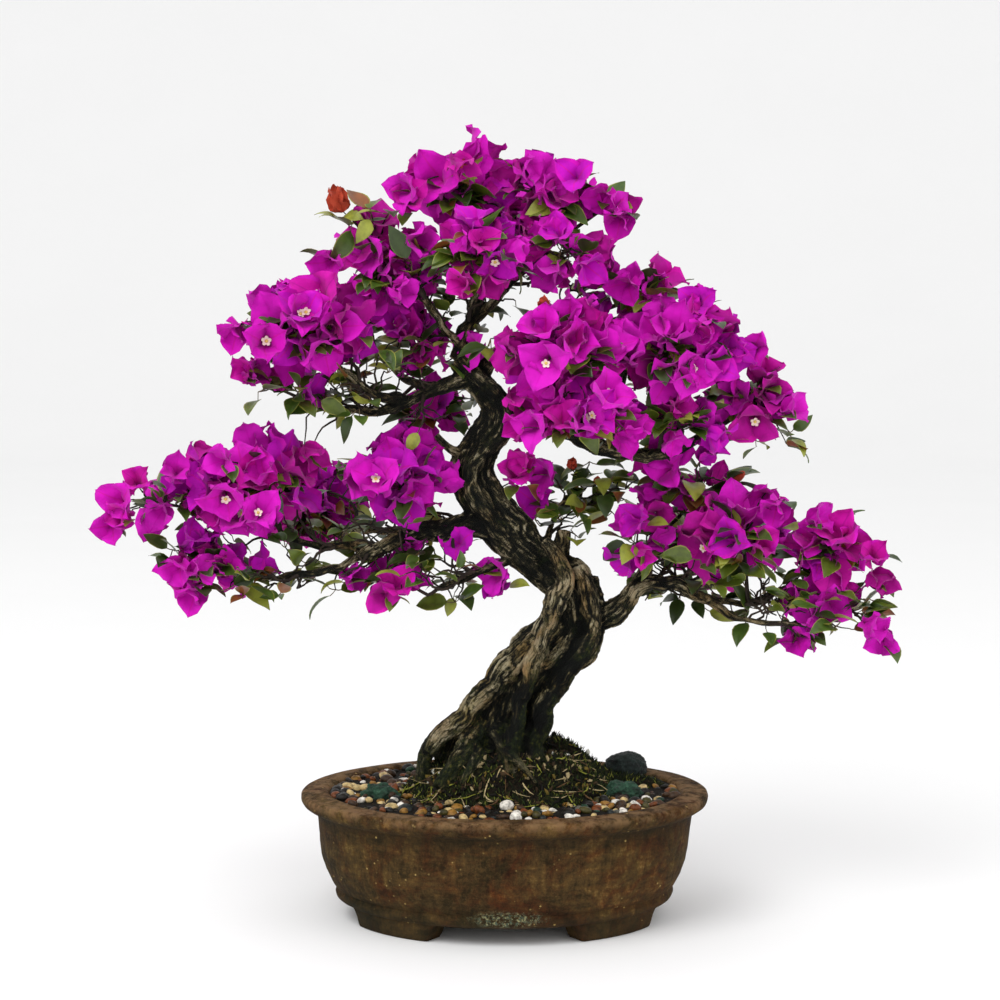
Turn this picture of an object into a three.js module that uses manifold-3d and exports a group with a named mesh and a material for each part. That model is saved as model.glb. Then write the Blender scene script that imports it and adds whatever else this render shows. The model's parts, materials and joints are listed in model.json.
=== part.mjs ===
// A flowering bougainvillea bonsai in an oval unglazed pot.
// The pot, its filling and the trunk stand in the middle; boughs leave the trunk to three tiers,
// and each bough ends in masses of twigs, leaves and papery bracts.

import * as THREE from "three";
import { mergeVertices } from "three/addons/utils/BufferGeometryUtils.js";
import Module from "manifold-3d";

const wasm = await Module();
wasm.setup();

// Driving dimensions in millimetres: x to the right, y to the back, z up from the pot's feet.
const GAP = 0.3;
const BLOCK = 400;
const OVERCUT = 5;
const WELD = 1e-4;
const POT = {
  halfLength: 162.8,
  depthShare: 0.78,
  rimTop: 101.5,
  rimInner: 141,
  bodyFoot: 129.5,
  bodyBottom: 14.5,
  underside: 2,
  footInner: 104,
  footSlope: 3,
  floor: 25,
  segments: 28,
};
const ARCH = {
  below: 1,
  frontTop: 54,
  sideTop: 35,
  flare: 7,
  height: 13.9,
  shoulder: 0.7,
  corner: 5,
};
const FILL = { soilTop: 92, gravelTop: 99, side: 0.5 };
const MOUND = {
  centre: [10, 2],
  radii: [94, 64],
  collar: 0.5,
  brow: 113,
  browShare: 0.55,
  top: 123,
  topCentre: [-12, 0],
  topRadii: [66, 48],
  sides: 24,
};
const LUMP = { centre: [54, 30], radii: [38, 28, 37], seat: 97 };
const BOULDER = { centre: [104, 50], radii: [17, 13, 14], flat: -0.45, bulge: 0.08, waves: [3, 2, 2] };

// Outer profile of the pot from its foot to its rim: half length, height.
const POT_OUTSIDE = [
  [126, 0],
  [POT.bodyFoot, POT.bodyBottom],
  [134, 17],
  [135.5, 21],
  [134, 24.5],
  [136.5, 27],
  [141.6, 36.5],
  [146.4, 51],
  [149, 72],
  [151, 86],
  [157.5, 89.5],
  [161.8, 93],
  [POT.halfLength, 97.5],
  [161.3, 100.5],
  [156, POT.rimTop],
];

// Inner profile of the pot from its rim to its floor.
const POT_INSIDE = [
  [POT.rimInner, POT.rimTop - 0.5],
  [139, 93],
  [138, 66],
  [131, 40],
  [120, POT.floor],
];

// Colours, roughness and metalness.
const FINISH = {
  pot: [0x5b4030, 0.9, 0],
  soil: [0x2b221a, 1, 0],
  gravel: [0x8a7c6a, 0.8, 0],
  moss: [0x2c3316, 1, 0],
  rock: [0x23261f, 0.9, 0],
  bark: [0x2b2822, 0.95, 0],
  blossom: [0xb010a0, 0.7, 0],
};

// The trunk's bends: x, y, z and radius, from the flat cut on the mound to the fork.
const TRUNK_BENDS = [
  [-16, 0, 117, 35],
  [-7, -1, 146, 31],
  [6, -4, 173, 29.5],
  [26, -8, 205, 30],
  [49, -8, 227, 26.5],
  [56, -5, 247, 23.5],
  [51, -2, 264, 20.5],
  [37, 1, 276, 18.5],
  [20, 3, 288, 18.5],
  [1, 5, 308, 20],
  [-11, 5, 325, 20],
  [-23, 5, 344, 18],
  [-27, 4, 360, 17],
  [-18, 1, 376, 16.5],
  [-5, -3, 396, 16],
  [-8, -6, 414, 14],
  [-24, -6, 431, 12],
  [-37, -4, 445, 9],
];
const TRUNK = {
  sides: 10,
  steps: 28,
  extraSteps: 6,
  flareHeight: 36,
  flare: 0.4,
  flareMost: 1.2,
  lobes: 5,
  lobeMean: 0.6,
  lobeTurn: 0.6,
  swell: 1.15,
};
// Ridges round the trunk: share of its radius, number round it, and turn from foot to fork.
const TRUNK_RIDGES = [[0.07, 3, 7], [0.05, 5, -11]];

// Short dead stubs and the arched surface root, fused to the trunk: points and end radii.
const TRUNK_EXTRAS = [
  { points: [[-22, 2, 367], [-43, 0, 374], [-54, -1, 385]], thick: [5, 3] },
  { points: [[48, -2, 267], [64, -4, 268], [77, -6, 269]], thick: [8, 5] },
  { points: [[30, 0, 276], [43, -1, 292], [47, -2, 308]], thick: [12, 6] },
  { points: [[-63, -8, 115], [-58, -7, 135], [-44, -5, 150], [-20, -2, 160]],
    thick: [6.5, 10] },
  { points: [[6, -34, 113], [0, -26, 133], [-4, -10, 157]], thick: [8, 14] },
];

// Boughs: where each leaves its parent (a share of the parent's length), the points it passes,
// its tip, and its radius at root and tip.
const BOUGHS = [
  { name: "bough_left", from: ["trunk", 0.6],
    via: [[-48, -4, 313]], tip: [-112, -18, 292], thick: [11, 6.5] },
  { name: "bough_left_low", from: ["bough_left", 1],
    via: [[-133, -22, 283]], tip: [-198, -16, 272], thick: [5.2, 3] },
  { name: "bough_left_high", from: ["bough_left", 0.85],
    via: [[-150, -4, 298]], tip: [-222, 2, 319], thick: [5, 2.6] },
  { name: "bough_left_back", from: ["bough_left", 0.45],
    via: [[-88, 30, 305]], tip: [-134, 74, 303], thick: [6, 3.4] },
  { name: "bough_left_under", from: ["trunk", 0.535],
    via: [[-24, -14, 277]], tip: [-54, -8, 263], thick: [5.5, 3.5] },
  { name: "bough_right", from: ["trunk", 0.31],
    via: [[92, -8, 248], [109, -8, 268], [130, -10, 268]], tip: [161, -10, 255], thick: [12, 6] },
  { name: "bough_right_low", from: ["bough_right", 1],
    via: [[180, -18, 243]], tip: [232, -20, 237], thick: [4.8, 3] },
  { name: "bough_right_mid", from: ["bough_right", 0.93],
    via: [[192, 0, 252]], tip: [232, 4, 267], thick: [4.6, 2.8] },
  { name: "bough_right_up", from: ["bough_right", 0.5],
    via: [[116, -4, 295]], tip: [140, 8, 321], thick: [5, 3] },
  { name: "bough_right_back", from: ["bough_right", 0.72],
    via: [[146, 32, 269]], tip: [166, 66, 275], thick: [4.8, 3] },
  { name: "bough_shoulder", from: ["trunk", 0.5],
    via: [[40, 14, 323]], tip: [56, 24, 329], thick: [4.6, 3] },
  { name: "bough_upper_right", from: ["trunk", 0.86],
    via: [[44, -10, 390], [80, -22, 377], [122, -26, 371]], tip: [166, -18, 393], thick: [12, 4.5] },
  { name: "bough_upper_right_front", from: ["bough_upper_right", 0.32],
    via: [[60, -42, 401]], tip: [66, -62, 419], thick: [6.5, 4] },
  { name: "bough_upper_right_back", from: ["bough_upper_right", 0.42],
    via: [[80, 20, 397]], tip: [92, 56, 417], thick: [6, 3.5] },
  { name: "bough_head_right", from: ["trunk", 0.95],
    via: [[6, 6, 457]], tip: [78, 20, 483], thick: [7, 3.2] },
  { name: "bough_upper_left", from: ["trunk", 0.955],
    via: [[-62, -10, 419], [-98, -16, 405]], tip: [-146, -16, 409], thick: [6.5, 3] },
  { name: "bough_upper_left_front", from: ["bough_upper_left", 0.42],
    via: [[-100, -26, 419]], tip: [-126, -34, 439], thick: [4.4, 2.8] },
  { name: "bough_upper_left_back", from: ["bough_upper_left", 0.22],
    via: [[-72, 30, 425]], tip: [-96, 68, 441], thick: [5, 3] },
  { name: "leader", from: ["trunk", 1],
    via: [[-34, -4, 461], [-27, -2, 479], [-19, -3, 505]], tip: [-24, 0, 545], thick: [7, 2.8] },
  { name: "leader_left", from: ["leader", 0.1],
    via: [[-48, -14, 471]], tip: [-62, -24, 493], thick: [4.6, 2.8] },
  { name: "leader_right", from: ["leader", 0.3],
    via: [[2, -4, 499]], tip: [30, -2, 535], thick: [4.4, 2.6] },
  { name: "leader_back", from: ["leader", 0.22],
    via: [[-24, 28, 481]], tip: [-12, 56, 511], thick: [4.4, 2.8] },
];
const BOUGH = { sides: 6, step: 16, leastSteps: 4 };

// Masses of twigs, leaves and bracts: the bough and share that carry the stem, centre, radii,
// the share of twigs that end in blossom, and the seed of its growth.
const MASSES = [
  { name: "mass_left_tip", on: ["bough_left_high", 1],
    centre: [-274, -12, 334], radii: [46, 34, 32], bloom: 0.9, seed: 6 },
  { name: "mass_left_mid", on: ["bough_left_high", 0.62],
    centre: [-194, -10, 348], radii: [56, 46, 47], bloom: 0.9, seed: 9 },
  { name: "mass_left_low", on: ["bough_left_low", 1],
    centre: [-228, -12, 279], radii: [44, 28, 37], bloom: 0.8, seed: 7 },
  { name: "mass_left_inner", on: ["bough_left", 0.62],
    centre: [-84, -16, 354], radii: [50, 38, 36], bloom: 0.9, seed: 1 },
  { name: "mass_left_under", on: ["bough_left_under", 1],
    centre: [-80, 0, 267], radii: [62, 32, 26], bloom: 0.5, seed: 9 },
  { name: "mass_left_back", on: ["bough_left_back", 1],
    centre: [-164, 108, 321], radii: [60, 46, 38], bloom: 0.7, seed: 1 },
  { name: "mass_upper_left", on: ["bough_upper_left_front", 1],
    centre: [-156, -35, 472], radii: [58, 45, 38], bloom: 0.95, seed: 1 },
  { name: "mass_upper_left_under", on: ["bough_upper_left", 1],
    centre: [-170, -10, 419], radii: [46, 30, 23], bloom: 0.5, seed: 2 },
  { name: "mass_upper_left_inner", on: ["leader_left", 1],
    centre: [-97, -16, 527], radii: [56, 40, 45], bloom: 0.7, seed: 1 },
  { name: "mass_upper_left_low", on: ["bough_upper_left_back", 0.5],
    centre: [-58, 58, 401], radii: [37, 32, 27], bloom: 0.7, seed: 10 },
  { name: "mass_upper_left_back", on: ["bough_upper_left_back", 1],
    centre: [-114, 104, 473], radii: [52, 44, 42], bloom: 0.7, seed: 10 },
  { name: "mass_heart_left", on: ["leader_left", 0.3],
    centre: [-74, 10, 462], radii: [34, 30, 34], bloom: 0.7, seed: 2 },
  { name: "mass_apex_left", on: ["leader", 1],
    centre: [-44, -5, 583], radii: [48, 38, 42], bloom: 0.95, seed: 7 },
  { name: "mass_apex_right", on: ["leader_right", 1],
    centre: [36, -5, 575], radii: [40, 34, 33], bloom: 0.95, seed: 7 },
  { name: "mass_apex_tip", on: ["leader_right", 0.85],
    centre: [84, 12, 567], radii: [25, 24, 28], bloom: 0.9, seed: 4 },
  { name: "mass_apex_front", on: ["leader", 0.72],
    centre: [-24, -52, 529], radii: [44, 30, 36], bloom: 0.9, seed: 9 },
  { name: "mass_apex_low", on: ["leader_right", 0.6],
    centre: [46, -36, 529], radii: [38, 32, 30], bloom: 0.9, seed: 7 },
  { name: "mass_apex_back", on: ["leader_back", 1],
    centre: [0, 78, 555], radii: [48, 44, 42], bloom: 0.7, seed: 6 },
  { name: "mass_right_head", on: ["bough_head_right", 1],
    centre: [118, 14, 501], radii: [60, 42, 30], bloom: 0.9, seed: 7 },
  { name: "mass_right_front", on: ["bough_upper_right_front", 1],
    centre: [39, -72, 453], radii: [54, 38, 40], bloom: 0.95, seed: 9 },
  { name: "mass_right_low_front", on: ["bough_upper_right_front", 0.55],
    centre: [62, -84, 403], radii: [48, 32, 26], bloom: 0.9, seed: 6 },
  { name: "mass_right_crown", on: ["bough_upper_right", 0.72],
    centre: [132, -34, 453], radii: [54, 42, 37], bloom: 0.95, seed: 5 },
  { name: "mass_right_under", on: ["bough_upper_right", 0.84],
    centre: [134, -34, 399], radii: [48, 34, 24], bloom: 0.8, seed: 1 },
  { name: "mass_right_end", on: ["bough_upper_right", 1],
    centre: [198, -5, 419], radii: [43, 36, 44], bloom: 0.95, seed: 1 },
  { name: "mass_right_back", on: ["bough_upper_right_back", 1],
    centre: [104, 88, 445], radii: [60, 46, 42], bloom: 0.7, seed: 1 },
  { name: "mass_shoulder", on: ["bough_shoulder", 1],
    centre: [64, 34, 341], radii: [56, 36, 27], bloom: 0.3, seed: 8 },
  { name: "mass_knee", on: ["bough_right_up", 0.3],
    centre: [104, -26, 301], radii: [26, 24, 21], bloom: 0.9, seed: 5 },
  { name: "mass_low_right_top", on: ["bough_right_up", 1],
    centre: [152, 12, 347], radii: [52, 36, 24], bloom: 0.8, seed: 6 },
  { name: "mass_low_right_mid", on: ["bough_right_mid", 0.5],
    centre: [188, -16, 302], radii: [50, 38, 43], bloom: 0.8, seed: 7 },
  { name: "mass_low_right_end", on: ["bough_right_mid", 1],
    centre: [264, 2, 299], radii: [42, 36, 36], bloom: 0.95, seed: 6 },
  { name: "mass_low_right_tip", on: ["bough_right_low", 1],
    centre: [268, -10, 246], radii: [44, 32, 34], bloom: 0.85, seed: 3 },
  { name: "mass_low_right_back", on: ["bough_right_back", 1],
    centre: [188, 98, 293], radii: [56, 46, 38], bloom: 0.7, seed: 6 },
];
// A stem heads out for a share of its length, turns in before the mass's centre and ends past it.
const STEM = {
  thick: [2, 1.3],
  boughShare: 0.8,
  sides: 4,
  steps: 4,
  clear: 1.2,
  ballStep: 4,
  headsOut: 0.3,
  turnsIn: 0.25,
  past: 0.12,
};
const TWIG = { thick: [1.1, 0.6], sides: 3, share: 0.0545 };
const TWIG_FORKS = [0.45, 0.6, 0.75, 0.9];
const TWIG_FORK_DRIFT = 0.04;
const TWIG_TESTS = [0.4, 0.7, 1];

// Whorls of three bracts or three leaves: length, least length as a share of the mass's least
// radius, opening angle, and outline of one third of the whorl in degrees and shares of length.
const BRACTS = {
  length: 35,
  least: 0.8,
  opening: 1.12,
  outline: [[-38, 0.86], [0, 1], [38, 0.86], [60, 0.56]],
};
const LEAVES = {
  length: 34,
  least: 1,
  opening: 1.25,
  outline: [[-19, 0.55], [0, 1], [19, 0.55], [60, 0.12]],
};
const WHORL = { turns: [0, 120, 240], thick: 1.9, seat: 5, notch: 0.6, notchLift: 0.2 };
const LEAF = { length: 34, width: 18, thick: 0.8, widest: 0.48, sag: 1.5, seat: [0.5, 0.45] };

// How a mass grows: how far past its ellipsoid it may reach, the margin towards its neighbours,
// how often a twig is tried, how far inside it starts and moves in, and how freely it turns.
const GROWTH = {
  seedStep: 7919,
  slack: 0.08,
  margin: 0.04,
  tries: 24,
  candidates: 3,
  inset: 0.42,
  insetStep: 0.08,
  leastReach: 2,
  drift: 0.06,
  tilt: 0.45,
};

const v3 = (p) => new THREE.Vector3(...p);
const DROOP = v3([0, 0, -0.3]);
const NEARLY_UP = v3([0.1, 0.1, 1]);

// A seeded source of numbers from 0 to 1.
function randomFrom(seed) {
  let state = seed >>> 0;
  return () => {
    state = (state + 0x6d2b79f5) >>> 0;
    let t = state;
    t = Math.imul(t ^ (t >>> 15), t | 1);
    t ^= t + Math.imul(t ^ (t >>> 7), t | 61);
    return ((t ^ (t >>> 14)) >>> 0) / 4294967296;
  };
}

// A closed geometry as a solid, without its doubled corners and flat faces.
function solidOf(geometry) {
  const bare = geometry.clone();
  bare.deleteAttribute("normal");
  bare.deleteAttribute("uv");
  const merged = mergeVertices(bare, WELD);
  const index = merged.index.array;
  const kept = [];
  for (let i = 0; i < index.length; i += 3) {
    const [a, b, c] = [index[i], index[i + 1], index[i + 2]];
    if (a !== b && b !== c && a !== c) kept.push(a, b, c);
  }
  return new wasm.Manifold(
    new wasm.Mesh({
      numProp: 3,
      vertProperties: merged.attributes.position.array,
      triVerts: new Uint32Array(kept),
    }),
  );
}

// A solid as a geometry.
function geometryOf(solid) {
  const mesh = solid.getMesh();
  const geometry = new THREE.BufferGeometry();
  const positions = new Float32Array(mesh.vertProperties);
  geometry.setAttribute("position", new THREE.BufferAttribute(positions, 3));
  geometry.setIndex(new THREE.BufferAttribute(new Uint32Array(mesh.triVerts), 1));
  geometry.computeVertexNormals();
  return geometry;
}

// A wide block whose top is at a height, for cutting a solid flat from below.
function blockBelow(height) {
  const geometry = new THREE.BoxGeometry(BLOCK, BLOCK, BLOCK);
  geometry.translate(0, 0, height - BLOCK / 2);
  return solidOf(geometry);
}

// The largest closed body of a solid, without its scraps and sealed hollows.
function mainBody(solid) {
  return solid.decompose().reduce((best, body) => (body.volume() > best.volume() ? body : best));
}

function closedGeometry(corners, index) {
  const geometry = new THREE.BufferGeometry();
  const flat = corners.flatMap((p) => [p.x, p.y, p.z]);
  geometry.setAttribute("position", new THREE.Float32BufferAttribute(flat, 3));
  geometry.setIndex(index);
  return geometry;
}

// A closed skin over a row of rings that all have the same number of points.
function loft(rings) {
  const count = rings[0].length;
  const positions = rings.flat();
  const index = [];
  for (let r = 0; r + 1 < rings.length; r++) {
    for (let i = 0; i < count; i++) {
      const a = r * count + i;
      const b = r * count + ((i + 1) % count);
      index.push(a, b, b + count, a, b + count, a + count);
    }
  }
  const last = (rings.length - 1) * count;
  for (let i = 1; i + 1 < count; i++) {
    index.push(0, i + 1, i);
    index.push(last, last + i, last + i + 1);
  }
  return closedGeometry(positions, index);
}

// A level ring of points round an oval.
function ovalRing(centre, radii, z, sides) {
  return Array.from({ length: sides }, (_, i) => {
    const angle = (i / sides) * 2 * Math.PI;
    return new THREE.Vector3(
      centre[0] + radii[0] * Math.cos(angle),
      centre[1] + radii[1] * Math.sin(angle),
      z,
    );
  });
}

// A tapering round limb along a curve; shape(share, angle, height) scales its radius.
function limbGeometry(curve, thick, sides, steps, extra = 0, shape = () => 1) {
  const frames = curve.computeFrenetFrames(steps, false);
  const rings = [];
  for (let s = 0; s <= steps; s++) {
    const share = s / steps;
    const centre = curve.getPointAt(share);
    const radius = thick(share);
    const ring = [];
    for (let i = 0; i < sides; i++) {
      const angle = (i / sides) * 2 * Math.PI;
      const reach = radius * shape(share, angle, centre.z) + extra;
      ring.push(
        centre
          .clone()
          .addScaledVector(frames.normals[s], reach * Math.cos(angle))
          .addScaledVector(frames.binormals[s], reach * Math.sin(angle)),
      );
    }
    rings.push(ring);
  }
  return loft(rings);
}

const taper = (thick) => (share) => THREE.MathUtils.lerp(thick[0], thick[1], share);

// The cutter of an arch that runs right through between two feet.
function archCutter(halfTop) {
  const halfFoot = halfTop + ARCH.flare;
  const outline = new THREE.Shape();
  outline.moveTo(-halfFoot, -ARCH.below);
  outline.lineTo(halfFoot, -ARCH.below);
  outline.lineTo(halfTop, POT.bodyBottom * ARCH.shoulder);
  outline.lineTo(halfTop - ARCH.corner, ARCH.height);
  outline.lineTo(ARCH.corner - halfTop, ARCH.height);
  outline.lineTo(-halfTop, POT.bodyBottom * ARCH.shoulder);
  outline.closePath();
  const geometry = new THREE.ExtrudeGeometry(outline, { depth: BLOCK, bevelEnabled: false });
  geometry.translate(0, 0, -BLOCK / 2);
  geometry.rotateX(Math.PI / 2);
  return geometry;
}

// A profile turned round and pressed to the pot's oval.
function turned(profile) {
  const points = profile.map(([radius, height]) => new THREE.Vector2(radius, height));
  const geometry = new THREE.LatheGeometry(points, POT.segments);
  geometry.rotateX(Math.PI / 2);
  geometry.scale(1, POT.depthShare, 1);
  return geometry;
}

// The pot, with arches cut between its four feet.
function potSolid() {
  const hollow = POT.bodyBottom - POT.underside;
  const underside = [
    [0, hollow],
    [POT.footInner - POT.footSlope, hollow],
    [POT.footInner, 0],
  ];
  const body = solidOf(turned([...underside, ...POT_OUTSIDE, ...POT_INSIDE, [0, POT.floor]]));
  const front = solidOf(archCutter(ARCH.frontTop));
  const side = solidOf(archCutter(ARCH.sideTop).rotateZ(Math.PI / 2));
  return mainBody(body.subtract(front).subtract(side));
}

// Half length of the pot's inside at a height.
function insideAt(height) {
  for (let i = 0; i + 1 < POT_INSIDE.length; i++) {
    const [upper, lower] = [POT_INSIDE[i], POT_INSIDE[i + 1]];
    if (height <= upper[1] && height >= lower[1]) {
      return THREE.MathUtils.mapLinear(height, lower[1], upper[1], lower[0], upper[0]);
    }
  }
  return POT_INSIDE[POT_INSIDE.length - 1][0];
}

// The soil below the gravel, and the gravel and the mound on it.
function soilSolid() {
  const walls = POT_INSIDE.slice()
    .reverse()
    .filter((p) => p[1] < FILL.soilTop)
    .map(([radius, height]) => [radius - FILL.side, Math.max(height, POT.floor + GAP)]);
  return solidOf(
    turned([
      [0, POT.floor + GAP],
      ...walls,
      [insideAt(FILL.soilTop) - FILL.side, FILL.soilTop],
      [0, FILL.soilTop],
    ]),
  );
}

function moundSolid() {
  const { centre, radii, brow, browShare, top, topCentre, topRadii, sides } = MOUND;
  const collar = FILL.gravelTop + MOUND.collar;
  const levels = [
    [FILL.soilTop + GAP, 0],
    [collar, 0],
    [brow, browShare],
    [top - GAP, 1],
  ];
  const rings = levels.map(([z, share]) => {
    const mix = (a, b) => THREE.MathUtils.lerp(a, b, share);
    return ovalRing(
      [mix(centre[0], topCentre[0]), mix(centre[1], topCentre[1])],
      [mix(radii[0], topRadii[0]), mix(radii[1], topRadii[1])],
      z,
      sides,
    );
  });
  const lump = new THREE.IcosahedronGeometry(1, 2);
  lump.scale(...LUMP.radii);
  lump.translate(LUMP.centre[0], LUMP.centre[1], LUMP.seat);
  const risen = solidOf(lump).subtract(blockBelow(collar));
  return mainBody(solidOf(loft(rings)).add(risen).subtract(limbs.get("trunk").wide));
}

function gravelSolid() {
  const bottom = FILL.soilTop + GAP;
  const disc = solidOf(
    turned([
      [0, bottom],
      [insideAt(bottom) - FILL.side, bottom],
      [insideAt(FILL.gravelTop) - FILL.side, FILL.gravelTop],
      [0, FILL.gravelTop],
    ]),
  );
  const hole = [MOUND.radii[0] + 2 * GAP, MOUND.radii[1] + 2 * GAP];
  const cutter = loft([
    ovalRing(MOUND.centre, hole, bottom - OVERCUT, MOUND.sides),
    ovalRing(MOUND.centre, hole, FILL.gravelTop + OVERCUT, MOUND.sides),
  ]);
  return mainBody(disc.subtract(solidOf(cutter)));
}

// A lumpy stone with a flat underside.
function boulderSolid() {
  const geometry = new THREE.IcosahedronGeometry(1, 1);
  const position = geometry.attributes.position;
  const { centre, radii, flat, bulge, waves } = BOULDER;
  for (let i = 0; i < position.count; i++) {
    const [x, y, z] = [position.getX(i), position.getY(i), position.getZ(i)];
    const swell = 1 + bulge * Math.sin(waves[0] * x + waves[1] * y) * Math.cos(waves[2] * z);
    position.setXYZ(i, x * swell, y * swell, Math.max(z * swell, flat));
  }
  geometry.scale(...radii);
  geometry.translate(centre[0], centre[1], FILL.gravelTop + GAP - flat * radii[2]);
  return solidOf(geometry);
}

// The trunk.
const trunkCurve = new THREE.CatmullRomCurve3(TRUNK_BENDS.map((p) => v3(p.slice(0, 3))));

function trunkRadius(share) {
  const place = share * (TRUNK_BENDS.length - 1);
  const low = Math.min(Math.floor(place), TRUNK_BENDS.length - 2);
  return THREE.MathUtils.lerp(TRUNK_BENDS[low][3], TRUNK_BENDS[low + 1][3], place - low);
}

// Ridges wind up the trunk, and roots swell its foot.
function trunkShape(share, angle, height) {
  const { flareHeight, flare, flareMost, lobes, lobeMean, lobeTurn } = TRUNK;
  const ridges = TRUNK_RIDGES.map(([size, count, turn]) => size * Math.cos(count * angle + turn * share));
  const foot = THREE.MathUtils.clamp(1 - (height - MOUND.top) / flareHeight, 0, flareMost);
  const roots = flare * foot * foot * (lobeMean + lobeMean * Math.cos(lobes * angle + lobeTurn));
  return 1 + ridges[0] + ridges[1] + roots;
}

// Trunk bends lie at even steps of the curve's own parameter, not of its length.
const trunkShares = (share) => trunkRadius(trunkCurve.getUtoTmapping(share));

function trunkSolid(extra) {
  let solid = solidOf(
    limbGeometry(trunkCurve, trunkShares, TRUNK.sides, TRUNK.steps, extra, trunkShape),
  );
  for (const { points, thick } of TRUNK_EXTRAS) {
    const curve = new THREE.CatmullRomCurve3(points.map(v3));
    solid = solid.add(solidOf(limbGeometry(curve, taper(thick), BOUGH.sides, TRUNK.extraSteps, extra)));
  }
  return mainBody(solid.subtract(blockBelow(MOUND.top)));
}

// Boughs, each cut where it meets its parent.
const limbs = new Map();
limbs.set("trunk", {
  curve: trunkCurve,
  radius: trunkShares,
  solid: trunkSolid(0),
  wide: trunkSolid(GAP),
});

function addBough({ name, from, via, tip, thick }) {
  const parent = limbs.get(from[0]);
  const root = parent.curve.getPointAt(from[1]);
  if (from[1] === 1) root.addScaledVector(parent.curve.getTangentAt(1), GAP);
  const curve = new THREE.CatmullRomCurve3([root, ...via.map(v3), v3(tip)]);
  const steps = Math.max(BOUGH.leastSteps, Math.round(curve.getLength() / BOUGH.step));
  const build = (extra) => solidOf(limbGeometry(curve, taper(thick), BOUGH.sides, steps, extra));
  limbs.set(name, {
    curve,
    radius: taper(thick),
    solid: mainBody([...limbs.values()].reduce((left, limb) => left.subtract(limb.wide), build(0))),
    wide: build(GAP),
  });
}
BOUGHS.forEach(addBough);

// The stem of a mass runs from its bough's tip, or from the bough's side, to just past its centre.
function stemOf(mass) {
  const parent = limbs.get(mass.on[0]);
  const share = mass.on[1];
  const atTip = share === 1;
  const root = parent.curve.getPointAt(share);
  const heading = parent.curve.getTangentAt(share);
  if (atTip) root.addScaledVector(heading, GAP);
  const centre = v3(mass.centre);
  const toward = centre.clone().sub(root);
  const first = atTip ? heading : toward.clone().normalize();
  return new THREE.CatmullRomCurve3([
    root,
    root.clone().addScaledVector(first, STEM.headsOut * toward.length()),
    centre.clone().lerp(root, STEM.turnsIn),
    centre.clone().addScaledVector(toward, STEM.past),
  ]);
}
const stems = new Map(MASSES.map((mass) => [mass, stemOf(mass)]));

// Balls along each limb and stem, for keeping twigs and leaves clear of them.
function ballsAlong(owner, curve, radius) {
  const count = Math.ceil(curve.getLength() / STEM.ballStep);
  return Array.from({ length: count + 1 }, (_, i) => ({
    owner,
    centre: curve.getPointAt(i / count),
    radius: radius(i / count),
  }));
}
const balls = [
  ...[...limbs].flatMap(([name, { curve, radius }]) =>
    ballsAlong(name, curve, (share) => radius(share) * (name === "trunk" ? TRUNK.swell : 1)),
  ),
  ...MASSES.flatMap((mass) => ballsAlong(mass, stems.get(mass), taper(STEM.thick))),
];

// Distance of a point from a mass's centre, as a share of its radii.
function depthIn(mass, point) {
  return Math.hypot(
    (point.x - mass.centre[0]) / mass.radii[0],
    (point.y - mass.centre[1]) / mass.radii[1],
    (point.z - mass.centre[2]) / mass.radii[2],
  );
}

// Whether a point keeps to its mass's own space and clear of every limb and strange stem.
function isFree(mass, point, inside = true) {
  const own = depthIn(mass, point);
  if (inside && own > 1 + GROWTH.slack) return false;
  const reach = 1 + GROWTH.slack + GROWTH.margin;
  const taken = MASSES.some((other) => {
    const depth = other === mass ? Infinity : depthIn(other, point);
    return depth < reach && depth < own + GROWTH.margin;
  });
  if (taken) return false;
  return balls.every(
    (ball) => ball.owner === mass || point.distanceTo(ball.centre) > ball.radius + STEM.clear,
  );
}

// A thin closed leaf of eight faces: root, two sides, point, and a ridge above and below.
function leafBlade(root, along, normal) {
  const { length, width, thick, widest, sag } = LEAF;
  const across = new THREE.Vector3().crossVectors(along, normal).normalize();
  const up = new THREE.Vector3().crossVectors(across, along).normalize();
  const at = (share, aside, lift) =>
    root
      .clone()
      .addScaledVector(along, length * share)
      .addScaledVector(across, (width / 2) * aside)
      .addScaledVector(up, lift);
  const edge = [root, at(widest, 1, 0), at(1, 0, -sag), at(widest, -1, 0)];
  const ridge = [at(widest, 0, thick / 2 - sag), at(widest, 0, -thick / 2 - sag)];
  const index = [0, 1, 4, 1, 2, 4, 2, 3, 4, 3, 0, 4, 1, 0, 5, 2, 1, 5, 3, 2, 5, 0, 3, 5];
  const middles = edge.slice(1).map((p) => p.clone().lerp(root, 0.5));
  const samples = [...edge.slice(1), ...middles];
  return { geometry: closedGeometry([...edge, ...ridge], index), samples };
}

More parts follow.
